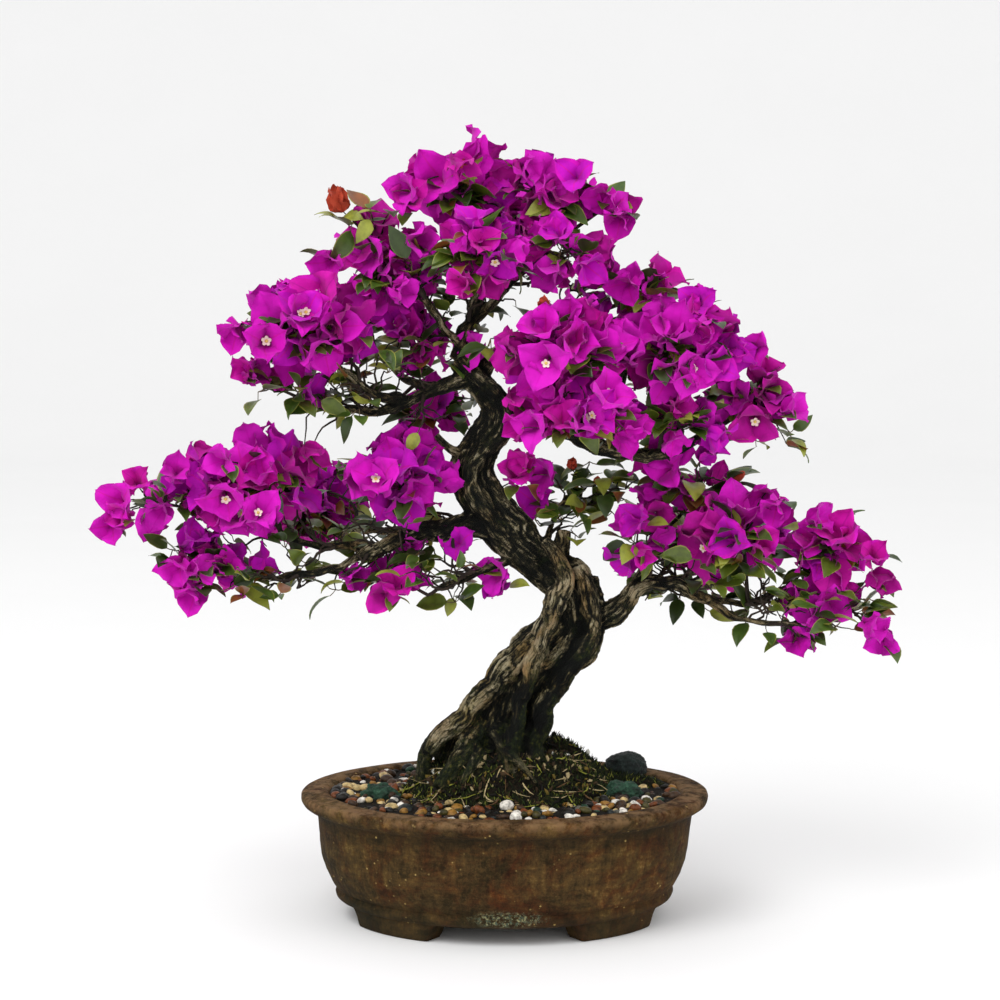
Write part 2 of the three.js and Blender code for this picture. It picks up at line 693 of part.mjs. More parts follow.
// Three bracts or leaves in one closed cup of 24 faces. The twig's tip meets the cup a little
// beside its middle, within one of its faces.
function whorl({ opening, outline }, length, tip, face, side) {
  const aside = new THREE.Vector3().crossVectors(face, side);
  const offset = (degrees, distance, open) => {
    const angle = THREE.MathUtils.degToRad(degrees);
    const spread = distance * Math.sin(open);
    return new THREE.Vector3()
      .addScaledVector(side, spread * Math.cos(angle))
      .addScaledVector(aside, spread * Math.sin(angle))
      .addScaledVector(face, distance * Math.cos(open));
  };
  const middle = tip.clone().sub(offset(outline[2][0] / 2, WHORL.seat, opening));
  const openAt = (reach) => (reach < WHORL.notch ? opening + WHORL.notchLift : opening);
  const ring = WHORL.turns.flatMap((turn) =>
    outline.map(([degrees, reach]) =>
      middle.clone().add(offset(turn + degrees, length * reach, openAt(reach))),
    ),
  );
  const top = middle.clone().addScaledVector(face, WHORL.thick / 2);
  const bottom = middle.clone().addScaledVector(face, -WHORL.thick / 2);
  const index = ring.flatMap((_, i) => {
    const next = (i + 1) % ring.length;
    return [i, next, ring.length, next, i, ring.length + 1];
  });
  const inner = ring.map((p) => p.clone().lerp(middle, 0.5));
  return { geometry: closedGeometry([...ring, top, bottom], index), samples: [...ring, ...inner] };
}

function anyDirection(random) {
  const z = 2 * random() - 1;
  const angle = 2 * Math.PI * random();
  const flat = Math.sqrt(1 - z * z);
  return new THREE.Vector3(flat * Math.cos(angle), flat * Math.sin(angle), z);
}

// The six ends of a ball first, then even directions round it in well-spread order.
const ENDS = [[1, 0, 0], [-1, 0, 0], [0, 0, 1], [0, -1, 0], [0, 1, 0], [0, 0, -1]];
const GOLDEN = { step: 0.618034, turn: 2.39996 };

function spreadDirection(index, start) {
  if (index < ENDS.length) return v3(ENDS[index]);
  const lift = 1 - 2 * ((index * GOLDEN.step) % 1);
  const flat = Math.sqrt(1 - lift * lift);
  const turn = start + index * GOLDEN.turn;
  return new THREE.Vector3(flat * Math.cos(turn), flat * Math.sin(turn), lift);
}

// A twig's wood and the whorl at its end, or nothing where its tip or the way to it isn't free.
function twigPieces(mass, kind, length, { begin, tip, face, side }) {
  const way = TWIG_TESTS.map((share) => begin.clone().lerp(tip, share));
  if (!way.every((point) => isFree(mass, point, false))) return [];
  const end = whorl(kind, length, tip, face, side);
  if (!end.samples.every((point) => isFree(mass, point))) return [];
  const wood = limbGeometry(new THREE.LineCurve3(begin, tip), taper(TWIG.thick), TWIG.sides, 1);
  return [wood, end.geometry].map(solidOf);
}

// The forking point of a stem that lies nearest a twig's tip.
function nearestOnStem(mass, tip, shift) {
  const forks = TWIG_FORKS.map((share) => stems.get(mass).getPointAt(share + shift));
  return forks.reduce((best, fork) => (fork.distanceTo(tip) < best.distanceTo(tip) ? fork : best));
}

function boxesMeet(one, other) {
  const [a, b] = [one.boundingBox(), other.boundingBox()];
  return [0, 1, 2].every((axis) => a.min[axis] < b.max[axis] && b.min[axis] < a.max[axis]);
}
const meet = (one, other) => boxesMeet(one, other) && !one.intersect(other).isEmpty();
const meetsAny = (one, others) => others.some((other) => meet(one, other));

// The masses that are grown, which later ones keep clear of.
const grownMasses = [];

// One twig of a mass: it is tried a little further in each time, until it touches no other.
function growTwig(mass, out, random, grown) {
  const centre = v3(mass.centre);
  const kind = random() < mass.bloom ? BRACTS : LEAVES;
  const length = Math.min(kind.length, kind.least * Math.min(...mass.radii));
  for (let attempt = 0; attempt < GROWTH.tries; attempt++) {
    const inset = length * (GROWTH.inset + GROWTH.insetStep * attempt);
    const reach = v3(mass.radii).subScalar(inset).clampScalar(GROWTH.leastReach, BLOCK);
    const wander = anyDirection(random).multiplyScalar(GROWTH.drift * attempt);
    const aim = out.clone().add(wander).normalize();
    const tip = centre.clone().add(aim.clone().multiply(reach));
    const normal = aim.clone().divide(v3(mass.radii)).normalize();
    const face = normal.addScaledVector(anyDirection(random), GROWTH.tilt).normalize();
    const side = new THREE.Vector3().crossVectors(face, anyDirection(random)).normalize();
    const begin = nearestOnStem(mass, tip, TWIG_FORK_DRIFT * random());
    const [wood, end] = twigPieces(mass, kind, length, { begin, tip, face, side });
    if (!wood || meetsAny(end, grownMasses) || meetsAny(wood, grownMasses)) continue;
    if (!meet(end, grown.all) && !meetsAny(wood, grown.ends)) {
      grown.ends.push(end);
      grown.all = grown.all.add(wood).add(end);
      return;
    }
  }
}

// A loose leaf on the stem of a mass.
function growStemLeaf(mass, random, grown) {
  const seat = stems.get(mass).getPointAt(LEAF.seat[0] + LEAF.seat[1] * random());
  const along = anyDirection(random).add(DROOP).normalize();
  const leaf = leafBlade(seat, along, NEARLY_UP);
  const blade = solidOf(leaf.geometry);
  if (!leaf.samples.every((p) => isFree(mass, p))) return;
  if (meetsAny(blade, [...grown.ends, ...grownMasses])) return;
  grown.ends.push(blade);
  grown.all = grown.all.add(blade);
}

// One mass: a stem from its bough, twigs spread through its space, bracts and leaves on the twigs.
function massSolid(mass) {
  const random = randomFrom(mass.seed * GROWTH.seedStep);
  const parent = limbs.get(mass.on[0]);
  const boughThick = parent.radius(mass.on[1]) * STEM.boughShare;
  const stemThick = [Math.min(STEM.thick[0], boughThick), STEM.thick[1]];
  const stem = solidOf(limbGeometry(stems.get(mass), taper(stemThick), STEM.sides, STEM.steps));
  const grown = { all: stem, ends: [] };
  const start = 2 * Math.PI * random();
  const wanted = Math.round(TWIG.share * (mass.radii[0] + mass.radii[1] + mass.radii[2]));
  const candidates = wanted * GROWTH.candidates;
  for (let k = 0; k < candidates && grown.ends.length < wanted; k++) {
    growTwig(mass, spreadDirection(k, start), random, grown);
  }
  growStemLeaf(mass, random, grown);
  const solid = mainBody(grown.all.subtract(parent.wide));
  grownMasses.push(solid);
  return solid;
}

// The finished object.
function finishOf(kind) {
  const [color, roughness, metalness] = FINISH[kind];
  return new THREE.MeshStandardMaterial({ color, roughness, metalness });
}

const group = new THREE.Group();

function addNode(name, solid, kind) {
  const mesh = new THREE.Mesh(geometryOf(solid), finishOf(kind));
  mesh.name = name;
  group.add(mesh);
}

addNode("pot", potSolid(), "pot");
addNode("soil", soilSolid(), "soil");
addNode("gravel", gravelSolid(), "gravel");
addNode("moss_mound", moundSolid(), "moss");
addNode("boulder", boulderSolid(), "rock");
for (const [name, limb] of limbs) addNode(name, limb.solid, "bark");
MASSES.forEach((mass) => addNode(mass.name, massSolid(mass), "blossom"));

// The origin is under the middle of the whole object, on the surface it stands on.
const box = new THREE.Box3().setFromObject(group);
const middle = box.getCenter(new THREE.Vector3());
group.position.set(-middle.x, -middle.y, -box.min.z);

export default group;
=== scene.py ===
import json
import math

import bmesh
import bpy
import numpy as np
from bpy.props import FloatProperty, FloatVectorProperty, IntProperty, PointerProperty
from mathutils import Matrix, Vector, noise

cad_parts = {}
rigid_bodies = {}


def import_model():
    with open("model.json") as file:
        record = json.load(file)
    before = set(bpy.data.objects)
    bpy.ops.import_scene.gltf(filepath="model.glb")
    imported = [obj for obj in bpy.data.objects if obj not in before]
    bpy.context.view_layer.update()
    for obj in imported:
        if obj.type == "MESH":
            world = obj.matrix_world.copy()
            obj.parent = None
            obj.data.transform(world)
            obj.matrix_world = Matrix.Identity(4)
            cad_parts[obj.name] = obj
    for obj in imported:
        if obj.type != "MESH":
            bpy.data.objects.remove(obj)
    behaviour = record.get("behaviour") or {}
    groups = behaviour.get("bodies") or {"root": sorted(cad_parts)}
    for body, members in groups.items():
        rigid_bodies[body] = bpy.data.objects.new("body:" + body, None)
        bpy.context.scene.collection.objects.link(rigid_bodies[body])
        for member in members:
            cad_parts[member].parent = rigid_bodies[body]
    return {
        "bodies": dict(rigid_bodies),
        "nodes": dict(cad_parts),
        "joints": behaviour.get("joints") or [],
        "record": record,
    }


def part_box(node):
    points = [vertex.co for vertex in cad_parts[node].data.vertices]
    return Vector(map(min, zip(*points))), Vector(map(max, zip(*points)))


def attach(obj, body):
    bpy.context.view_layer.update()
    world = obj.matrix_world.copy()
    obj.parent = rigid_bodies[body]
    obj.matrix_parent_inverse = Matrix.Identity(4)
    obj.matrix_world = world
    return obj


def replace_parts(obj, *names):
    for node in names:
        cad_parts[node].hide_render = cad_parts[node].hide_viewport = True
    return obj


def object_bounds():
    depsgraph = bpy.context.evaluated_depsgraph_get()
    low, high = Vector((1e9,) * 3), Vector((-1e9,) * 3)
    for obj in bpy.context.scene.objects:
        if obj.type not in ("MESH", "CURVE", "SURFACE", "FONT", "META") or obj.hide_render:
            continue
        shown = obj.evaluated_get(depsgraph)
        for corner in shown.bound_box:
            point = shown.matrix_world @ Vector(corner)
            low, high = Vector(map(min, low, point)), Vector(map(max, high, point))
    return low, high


bl_info = {
    "name": "Bougainvillea Bonsai",
    "version": (1, 0, 0),
    "blender": (4, 5, 0),
    "location": "View3D > Sidebar > Bonsai",
    "description": "Dresses a bougainvillea bonsai in its oval pot, from clay to bracts",
    "category": "Object",
}

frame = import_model()
CAD_BOX = [list(corner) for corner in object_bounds()]
POT_LOW, POT_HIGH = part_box("pot")

# The pot's middle at the level of its feet. The tables below count from it, in millimetres.
SEAT = np.array([(POT_LOW.x + POT_HIGH.x) / 2, (POT_LOW.y + POT_HIGH.y) / 2, POT_LOW.z])
MM = 0.001
ROOT = "root"

# Trunk bends from the mound to the fork: x, y, z and radius.
TRUNK_BENDS = [
    (-17, 0, 112, 36), (-9, -1, 146, 29.5), (4, -4, 173, 28), (25, -8, 205, 28.5),
    (49, -8, 227, 25.5), (56, -5, 247, 23), (51, -2, 264, 20.5), (37, 1, 276, 18.5),
    (20, 3, 288, 18.5), (1, 5, 308, 20), (-11, 5, 325, 20), (-23, 5, 344, 18),
    (-27, 4, 360, 17), (-18, 1, 376, 16.5), (-5, -3, 396, 16), (-8, -6, 414, 14),
    (-24, -6, 431, 12), (-37, -4, 445, 9),
]

# Dead stubs, knots and the arched roots: points, and radius at root and tip.
TRUNK_EXTRAS = [
    ([(-22, 2, 367), (-43, 0, 374), (-54, -1, 385)], (5, 2.6)),
    ([(48, -2, 267), (64, -4, 268), (75, -6, 270)], (8, 4)),
    ([(32, 0, 276), (43, -1, 292), (47, -2, 310)], (11, 5.5)),
    ([(-66, -8, 108), (-61, -7, 134), (-47, -5, 151), (-20, -2, 164)], (5.5, 8)),
    ([(6, -38, 108), (0, -26, 133), (-4, -10, 160)], (7, 13)),
    ([(-52, -34, 108), (-34, -22, 128), (-14, -8, 156)], (7, 13)),
    ([(32, -24, 110), (22, -16, 130), (8, -4, 158)], (6, 13)),
    ([(26, 26, 110), (16, 18, 132), (2, 6, 160)], (7, 13)),
    ([(-44, 30, 110), (-30, 18, 132), (-12, 6, 160)], (7, 12)),
    ([(25, -52, 117), (14, -46, 129), (1, -38, 140), (-7, -24, 151)], (1.4, 6.5)),
    ([(-34, -47, 115), (-27, -38, 126), (-16, -24, 138)], (2, 7)),
]

# The strips of old wood that stand out on the trunk's front: points and radii, in millimetres.
STRIPS = [
    ([(-60, -14, 134), (-48, -16, 151), (-29, -18, 167), (-12, -20, 185), (0, -20, 202),
      (14, -20, 215), (28, -22, 228), (38, -20, 247), (41, -17, 264)],
     (5.5, 7, 8.5, 10, 12, 10, 8.5, 7.5, 6)),
    ([(2, -32, 116), (6, -34, 142), (11, -34, 170), (19, -35, 194), (25, -36, 215), (32, -34, 235),
      (40, -31, 255), (46, -27, 273), (42, -24, 292), (31, -20, 304)],
     (10, 8, 6.5, 6.5, 7, 7, 7.5, 7, 6.5, 5)),
    ([(23, -20, 112), (21, -22, 140), (31, -23, 171), (46, -25, 197), (60, -26, 220),
      (68, -23, 240), (66, -19, 263), (58, -15, 283)], (11, 11, 9.5, 9, 8.5, 8, 7, 5)),
]

# Where the wood is weathered pale, and where it is darker, partly as painted shade in the hollow at
# the trunk's foot and under the upper trunk: middle in mm, reach, and by how much.
WEATHERING_AND_PAINTED_SHADE = [
    (2, -30, 208, 17, 0.34), (23, -44, 204, 13, 0.4), (30, -44, 232, 14, 0.34),
    (49, -34, 268, 16, 0.34), (60, -20, 284, 13, 0.4), (-50, -24, 150, 14, 0.2),
    (-27, -28, 174, 15, 0.3), (-41, 0, 369, 11, 0.3), (8, -38, 134, 13, 0.6),
    (-34, -14, 315, 8, 0.2), (34, -40, 169, 18, -0.3), (51, -40, 198, 15, -0.28),
    (66, -36, 222, 12, -0.16), (9, -38, 182, 7, -0.5), (-19, -12, 319, 16, -0.22),
    (-11, -16, 414, 14, -0.2), (20, -46, 148, 15, -0.45), (-14, -30, 150, 10, -0.3),
    (100, -14, 258, 12, 0.3), (-46, -24, 172, 8, -0.3), (52, -26, 290, 10, 0.2),
    (24, -42, 159, 14, -0.5), (6, -44, 146, 12, -0.4), (-26, -42, 151, 10, -0.3),
    (-58, -22, 147, 11, 0.24), (-42, -24, 160, 11, 0.24), (12, -42, 181, 9, -0.3),
    (-4, -34, 202, 12, 0.2), (-42, -40, 131, 9, -0.3),
]

# Boughs: parent and place on it, points passed, tip, and radius at root and tip.
BOUGHS = {
    "bough_left": ("trunk", 0.6, [(-48, -4, 313)], (-112, -18, 292), (11, 5.6)),
    "bough_left_low": ("bough_left", 1, [(-133, -22, 283)], (-198, -16, 272), (4.2, 1.9)),
    "bough_left_high": ("bough_left", 0.85, [(-150, -4, 298)], (-222, 2, 319), (4, 1.8)),
    "bough_left_back": ("bough_left", 0.45, [(-88, 30, 305)], (-134, 74, 303), (5.2, 2.4)),
    "bough_left_under": ("trunk", 0.535, [(-24, -14, 277)], (-54, -8, 263), (4.6, 2.2)),
    "bough_right": ("trunk", 0.31, [(92, -8, 248), (109, -8, 268), (130, -10, 268)],
                    (161, -10, 255), (11.5, 4.6)),
    "bough_right_low": ("bough_right", 1, [(180, -18, 243)], (232, -20, 237), (3.8, 1.9)),
    "bough_right_mid": ("bough_right", 0.93, [(192, 0, 252)], (232, 4, 267), (3.6, 1.8)),
    "bough_right_up": ("bough_right", 0.5, [(116, -4, 295)], (140, 8, 321), (3.8, 1.9)),
    "bough_right_back": ("bough_right", 0.72, [(146, 32, 269)], (166, 66, 275), (4, 2)),
    "bough_shoulder": ("trunk", 0.5, [(40, 14, 323)], (56, 24, 329), (3.8, 2)),
    "bough_upper_right": ("trunk", 0.86, [(44, -10, 390), (80, -22, 377), (122, -26, 371)],
                          (166, -18, 393), (11, 3)),
    "bough_upper_right_front": ("bough_upper_right", 0.32, [(60, -42, 401)],
                                (66, -62, 419), (6.5, 4)),
    "bough_upper_right_back": ("bough_upper_right", 0.42, [(80, 20, 397)],
                               (92, 56, 417), (6, 3.5)),
    "bough_head_right": ("trunk", 0.95, [(6, 6, 457)], (78, 20, 483), (7, 3.2)),
    "bough_upper_left": ("trunk", 0.955, [(-62, -10, 419), (-98, -16, 405)],
                         (-146, -16, 409), (6.5, 3)),
    "bough_upper_left_front": ("bough_upper_left", 0.42, [(-100, -26, 419)],
                               (-126, -34, 439), (4.4, 2.8)),
    "bough_upper_left_back": ("bough_upper_left", 0.22, [(-72, 30, 425)],
                              (-96, 68, 441), (5, 3)),
    "leader": ("trunk", 1, [(-34, -4, 461), (-27, -2, 479), (-19, -3, 505)],
               (-24, 0, 545), (7, 2.8)),
    "leader_left": ("leader", 0.1, [(-48, -14, 471)], (-62, -24, 493), (4.6, 2.8)),
    "leader_right": ("leader", 0.3, [(2, -4, 499)], (30, -2, 535), (4.4, 2.6)),
    "leader_back": ("leader", 0.22, [(-24, 28, 481)], (-12, 56, 511), (4.4, 2.8)),
}

# How far a bough's small turns lead it from its line, in millimetres, and where in the noise
# each of the three axes reads them. Blender's own vector noise differs from run to run.
BOUGH_KINK = 3.2
AXIS_SHIFTS = (0, 17.3, 41.9)

# The crown's tiers and their masses: bough and place on it, centre, radii, and share of twigs in
# blossom. Twigs, leaves, bracts and flowers of a tier are a piece each.
TIERS = {
    "left": {
        "mass_left_tip": ("bough_left_high", 1, (-274, -12, 334), (46, 34, 32), 0.9),
        "mass_left_mid": ("bough_left_high", 0.62, (-194, -10, 348), (56, 46, 47), 0.9),
        "mass_left_low": ("bough_left_low", 1, (-228, -12, 279), (44, 28, 37), 0.8),
        "mass_left_inner": ("bough_left", 0.62, (-84, -16, 354), (50, 38, 36), 0.9),
        "mass_left_under": ("bough_left_under", 1, (-80, 0, 267), (62, 32, 26), 0.5),
        "mass_left_back": ("bough_left_back", 1, (-164, 108, 321), (60, 46, 38), 0.7),
    },
    "upper_left": {
        "mass_upper_left": ("bough_upper_left_front", 1, (-156, -35, 472), (58, 45, 38), 0.95),
        "mass_upper_left_under": ("bough_upper_left", 1, (-170, -10, 419), (46, 30, 23), 0.5),
        "mass_upper_left_inner": ("leader_left", 1, (-97, -16, 527), (56, 40, 45), 0.7),
        "mass_upper_left_low": ("bough_upper_left_back", 0.5, (-58, 58, 401), (37, 32, 27), 0.7),
        "mass_upper_left_back": ("bough_upper_left_back", 1, (-114, 104, 473), (52, 44, 42), 0.7),
        "mass_heart_left": ("leader_left", 0.3, (-74, 10, 462), (34, 30, 34), 0.7),
    },
    "apex": {
        "mass_apex_left": ("leader", 1, (-44, -5, 583), (48, 38, 42), 0.95),
        "mass_apex_right": ("leader_right", 1, (36, -5, 575), (40, 34, 33), 0.95),
        "mass_apex_tip": ("leader_right", 0.85, (84, 12, 567), (25, 24, 28), 0.9),
        "mass_apex_front": ("leader", 0.72, (-24, -52, 529), (44, 30, 36), 0.9),
        "mass_apex_low": ("leader_right", 0.6, (46, -36, 529), (38, 32, 30), 0.9),
        "mass_apex_back": ("leader_back", 1, (0, 78, 555), (48, 44, 42), 0.7),
    },
    "right": {
        "mass_right_head": ("bough_head_right", 1, (118, 14, 501), (60, 42, 30), 0.9),
        "mass_right_front": ("bough_upper_right_front", 1, (39, -72, 453), (54, 38, 40), 0.95),
        "mass_right_low_front": ("bough_upper_right_front", 0.55, (62, -84, 403), (48, 32, 26), 0.9),
        "mass_right_crown": ("bough_upper_right", 0.72, (132, -34, 453), (54, 42, 37), 0.95),
        "mass_right_under": ("bough_upper_right", 0.84, (134, -34, 399), (48, 34, 24), 0.8),
        "mass_right_end": ("bough_upper_right", 1, (198, -5, 419), (43, 36, 44), 0.95),
        "mass_right_back": ("bough_upper_right_back", 1, (104, 88, 445), (60, 46, 42), 0.7),
    },
    "low_right": {
        "mass_shoulder": ("bough_shoulder", 1, (64, 34, 341), (56, 36, 27), 0.16),
        "mass_knee": ("bough_right_up", 0.3, (104, -26, 301), (26, 24, 21), 0.9),
        "mass_low_right_top": ("bough_right_up", 1, (152, 12, 347), (52, 36, 24), 0.8),
        "mass_low_right_mid": ("bough_right_mid", 0.5, (188, -16, 302), (50, 38, 43), 0.8),
        "mass_low_right_end": ("bough_right_mid", 1, (264, 2, 299), (42, 36, 36), 0.95),
        "mass_low_right_tip": ("bough_right_low", 1, (268, -10, 246), (44, 32, 34), 0.85),
        "mass_low_right_back": ("bough_right_back", 1, (188, 98, 293), (56, 46, 38), 0.7),
    },
}
MASSES = {name: row for masses in TIERS.values() for name, row in masses.items()}

# Masses that carry fewer twigs than the others, and what share of them.
SPARSE = {
    "mass_shoulder": 0.34, "mass_left_under": 0.6, "mass_low_right_top": 0.75,
    "mass_low_right_mid": 0.72, "mass_upper_left_under": 0.75, "mass_left_low": 0.85,
    "mass_knee": 0.6,
}

# The pot's profile from its foot over the rim to the inside: half length and height.
POT_PROFILE = [
    (126, 0), (129.5, 14.5), (134, 17), (135.5, 21), (134, 24.5), (136.5, 27), (141.6, 36.5),
    (146.4, 51), (149, 72), (151, 86), (157.5, 89.5), (161.8, 93), (162.8, 97.5), (161.3, 100.5),
    (156, 101.5), (141, 101), (139, 93),
]
POT_DEPTH = 0.78
# Below the pot: the underside's height, the arches' height, and where the feet rise to full depth.
UNDERSIDE = 12.5
ARCH = 13.6
FOOT_ALONG = (54, 61)
FOOT_ACROSS = (35, 42)

# The gravel's height and half length, and the mossy mound on it with its lump and its ledge.
GRAVEL_TOP = 99
GRAVEL_HALF = 136.5
MOUND = {"centre": (4, 1), "radii": (94, 64), "top": 123}
LUMP = {"centre": (54, 32, 97), "radii": (42, 28, 47)}
LEDGE = {"centre": (100, 30, 96), "radii": (38, 15, 12)}
# Where the moss climbs up the trunk's foot: x, y, reach and rise.
COLLAR = [(8, -27, 20, 10), (38, -14, 16, 7), (-26, -28, 15, 7)]
# The way, in radians, in which the mound runs out further, and how wide that tongue is.
TONGUE = (0.36, 0.3)
# Rocks: centre, radii, how uneven they are, stone and seed.
ROCKS = {
    "rock_right": ((99, 50, 109), (18, 12, 12), 0.45, "dark", 3),
    "rock_green_right": ((94, -14, 101), (15, 11, 9), 1, "green", 5),
    "rock_green_left": ((-99, -18, 101), (14, 10, 8), 1, "green", 8),
}


def place(points):
    """Points of the tables, in millimetres from the pot's middle, as metres in the frame."""
    return np.asarray(points, float) * MM + SEAT


def srgb(red, green, blue):
    """A colour's linear values from those of a colour chart, 0 to 255."""
    share = np.array([red, green, blue], float) / 255
    linear = np.where(share <= 0.04045, share / 12.92, ((share + 0.055) / 1.055) ** 2.4)
    return tuple(float(value) for value in linear)


def unit(vectors):
    """Vectors brought to length one."""
    size = np.linalg.norm(vectors, axis=-1, keepdims=True)
    return vectors / np.maximum(size, 1e-9)


def smoothstep(low, high, values):
    """0 below low, 1 above high, and a smooth rise between."""
    share = np.clip((values - low) / (high - low), 0, 1)
    return share * share * (3 - 2 * share)


def noise_over(points, scale, shift=(0, 0, 0)):
    """Smooth noise at each of some points, from -1 to 1."""
    return np.array([noise.noise(Vector(p * scale) + Vector(shift)) for p in points])


def nearness(points, centre, reach):
    """1 at a place of the tables, and falling smoothly to 0 round it."""
    gap = np.linalg.norm(points - place(centre), axis=1) / (reach * MM)
    return np.exp(-gap**2)


def run_of(path):
    """How far along a path each of its points lies."""
    return np.concatenate([[0], np.cumsum(np.linalg.norm(np.diff(path, axis=0), axis=1))])


# Limbs


def spline(points, steps=10):
    """A smooth line through points, with steps to each span."""
    points = np.asarray(points, float)
    ends = np.vstack([2 * points[0] - points[1], points, 2 * points[-1] - points[-2]])
    share = np.linspace(0, 1, steps, endpoint=False)[:, None]
    line = []
    for p0, p1, p2, p3 in zip(ends, ends[1:], ends[2:], ends[3:]):
        d0, d1, d2 = (max(np.dot(b - a, b - a) ** 0.25, 1e-4)
                      for a, b in ((p0, p1), (p1, p2), (p2, p3)))
        t1 = ((p1 - p0) / d0 - (p2 - p0) / (d0 + d1) + (p2 - p1) / d1) * d1
        t2 = ((p2 - p1) / d1 - (p3 - p1) / (d1 + d2) + (p3 - p2) / d2) * d1
        line.append(p1 + t1 * share + (3 * (p2 - p1) - 2 * t1 - t2) * share**2
                    + (2 * (p1 - p2) + t1 + t2) * share**3)
    return np.vstack(line + [points[-1:]])


class Limb:
    """A tapering limb: points along its middle, and its radius at each."""

    def __init__(self, path, radii):
        self.path = path
        self.radii = np.asarray(radii, float)
        self.along = run_of(path)

    def at(self, share):
        place_on = share * self.along[-1]
        return np.array([np.interp(place_on, self.along, self.path[:, k]) for k in range(3)])

    def heading(self, share):
        return unit(self.at(min(share + 0.02, 1)) - self.at(max(share - 0.02, 0)))

    def radius(self, share):
        return float(np.interp(share * self.along[-1], self.along, self.radii))

    def frame(self):
        """Ahead, aside and across at each point, turning as little as they can."""
        ahead = unit(np.gradient(self.path, axis=0))
        aside = np.empty_like(ahead)
        last = np.cross(ahead[0], [0.31, 0.94, 0.17])
        for i, way in enumerate(ahead):
            last = unit(last - np.dot(last, way) * way)
            aside[i] = last
        return ahead, aside, np.cross(ahead, aside)


def taper(path, thick):
    """Radii in metres that fall evenly along a path."""
    along = run_of(path)
    return np.interp(along / along[-1], [0, 1], [thick[0] * MM, thick[1] * MM])


def make_limbs():
    """The trunk and boughs by name, in metres."""
    bends = np.array(TRUNK_BENDS, float)
    path = spline(place(bends[:, :3]))
    turns = np.linspace(0, len(bends) - 1, len(path))
    limbs = {"trunk": Limb(path, np.interp(turns, np.arange(len(bends)), bends[:, 3] * MM))}
    for name, (parent, share, via, tip, thick) in BOUGHS.items():
        root = limbs[parent].at(share)
        path = spline(np.vstack([root[None], place(via), place([tip])]))
        limbs[name] = Limb(gnarled(path, len(limbs)), taper(path, thick) * knobs(path, len(limbs)))
    return limbs


def gnarled(path, seed):
    """A line with the small turns of old wood between its two ends."""
    share = np.linspace(0, 1, len(path))
    way = np.stack([noise_over(path, 42, (seed * 3.1, 0, shift))
                    + 0.6 * noise_over(path, 95, (0, seed * 1.7, shift))
                    for shift in AXIS_SHIFTS], 1)
    return path + way * np.minimum(1, 5 * np.minimum(share, 1 - share))[:, None] * BOUGH_KINK * MM


def knobs(path, seed):
    """How far a bough swells and thins along its way."""
    return 1 + 0.3 * noise_over(path, 85, (seed, 0, 7))


def stem_of(mass, limbs):
    """The stem that carries a mass, from its bough to just past the mass's middle."""
    on, share, centre = MASSES[mass][:3]
    root = limbs[on].at(share)
    centre = place(centre)
    toward = centre - root
    first = limbs[on].heading(1) if share == 1 else unit(toward)
    reach = np.linalg.norm(toward)
    path = spline([root, root + first * 0.3 * reach, centre + (root - centre) * 0.25,
                   centre + toward * 0.12], 6)
    thick = (min(2.2, limbs[on].radius(share) / MM * 0.8), 1.1)
    return Limb(path, taper(path, thick))


# Meshes


def add_piece(name, mesh, slot):
    """A piece of a mesh that rides on the plant's body."""
    piece = bpy.data.objects.new(name, mesh)
    bpy.context.scene.collection.objects.link(piece)
    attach(piece, ROOT)
    return piece


def new_piece(name, points, faces, materials, slot, tints=None, smooth=True):
    """A piece of the given points and faces, each face in one of the materials."""
    mesh = bpy.data.meshes.new(name)
    mesh.from_pydata(np.asarray(points).tolist(), [], np.asarray(faces).tolist())
    for material in materials:
        mesh.materials.append(material)
    if tints is not None:
        mesh.polygons.foreach_set("material_index", np.asarray(tints, np.int32))
    mesh.polygons.foreach_set("use_smooth", np.full(len(mesh.polygons), smooth))
    mesh.update()
    return add_piece(name, mesh, slot)


def grid_faces(count, rows, columns, closed=False):
    """Quads of count like grids of rows by columns points; a closed one joins its last column."""
    across = columns if closed else columns - 1
    row, column = np.meshgrid(np.arange(rows - 1), np.arange(across), indexing="ij")
    after = (column + 1) % columns
    quads = np.stack([row * columns + column, row * columns + after,
                      (row + 1) * columns + after, (row + 1) * columns + column], -1)
    starts = np.arange(count)[:, None, None] * rows * columns
    return (quads.reshape(1, -1, 4) + starts).reshape(-1, 4)


def tubes(paths, radii, sides):
    """Points and faces of tapering tubes that all have the same number of steps."""
    paths, radii = np.asarray(paths), np.asarray(radii)
    along = unit(np.gradient(paths, axis=1))
    aside = unit(np.cross(paths[:, -1] - paths[:, 0], [0.31, 0.17, 0.94]))[:, None]
    normal = unit(aside - (aside * along).sum(-1, keepdims=True) * along)
    other = np.cross(along, normal)
    turn = np.arange(sides) / sides * 2 * math.pi
    ring = np.cos(turn)[:, None] * normal[:, :, None] + np.sin(turn)[:, None] * other[:, :, None]
    points = paths[:, :, None] + radii[:, :, None, None] * ring
    return points.reshape(-1, 3), grid_faces(len(paths), paths.shape[1], sides, closed=True)


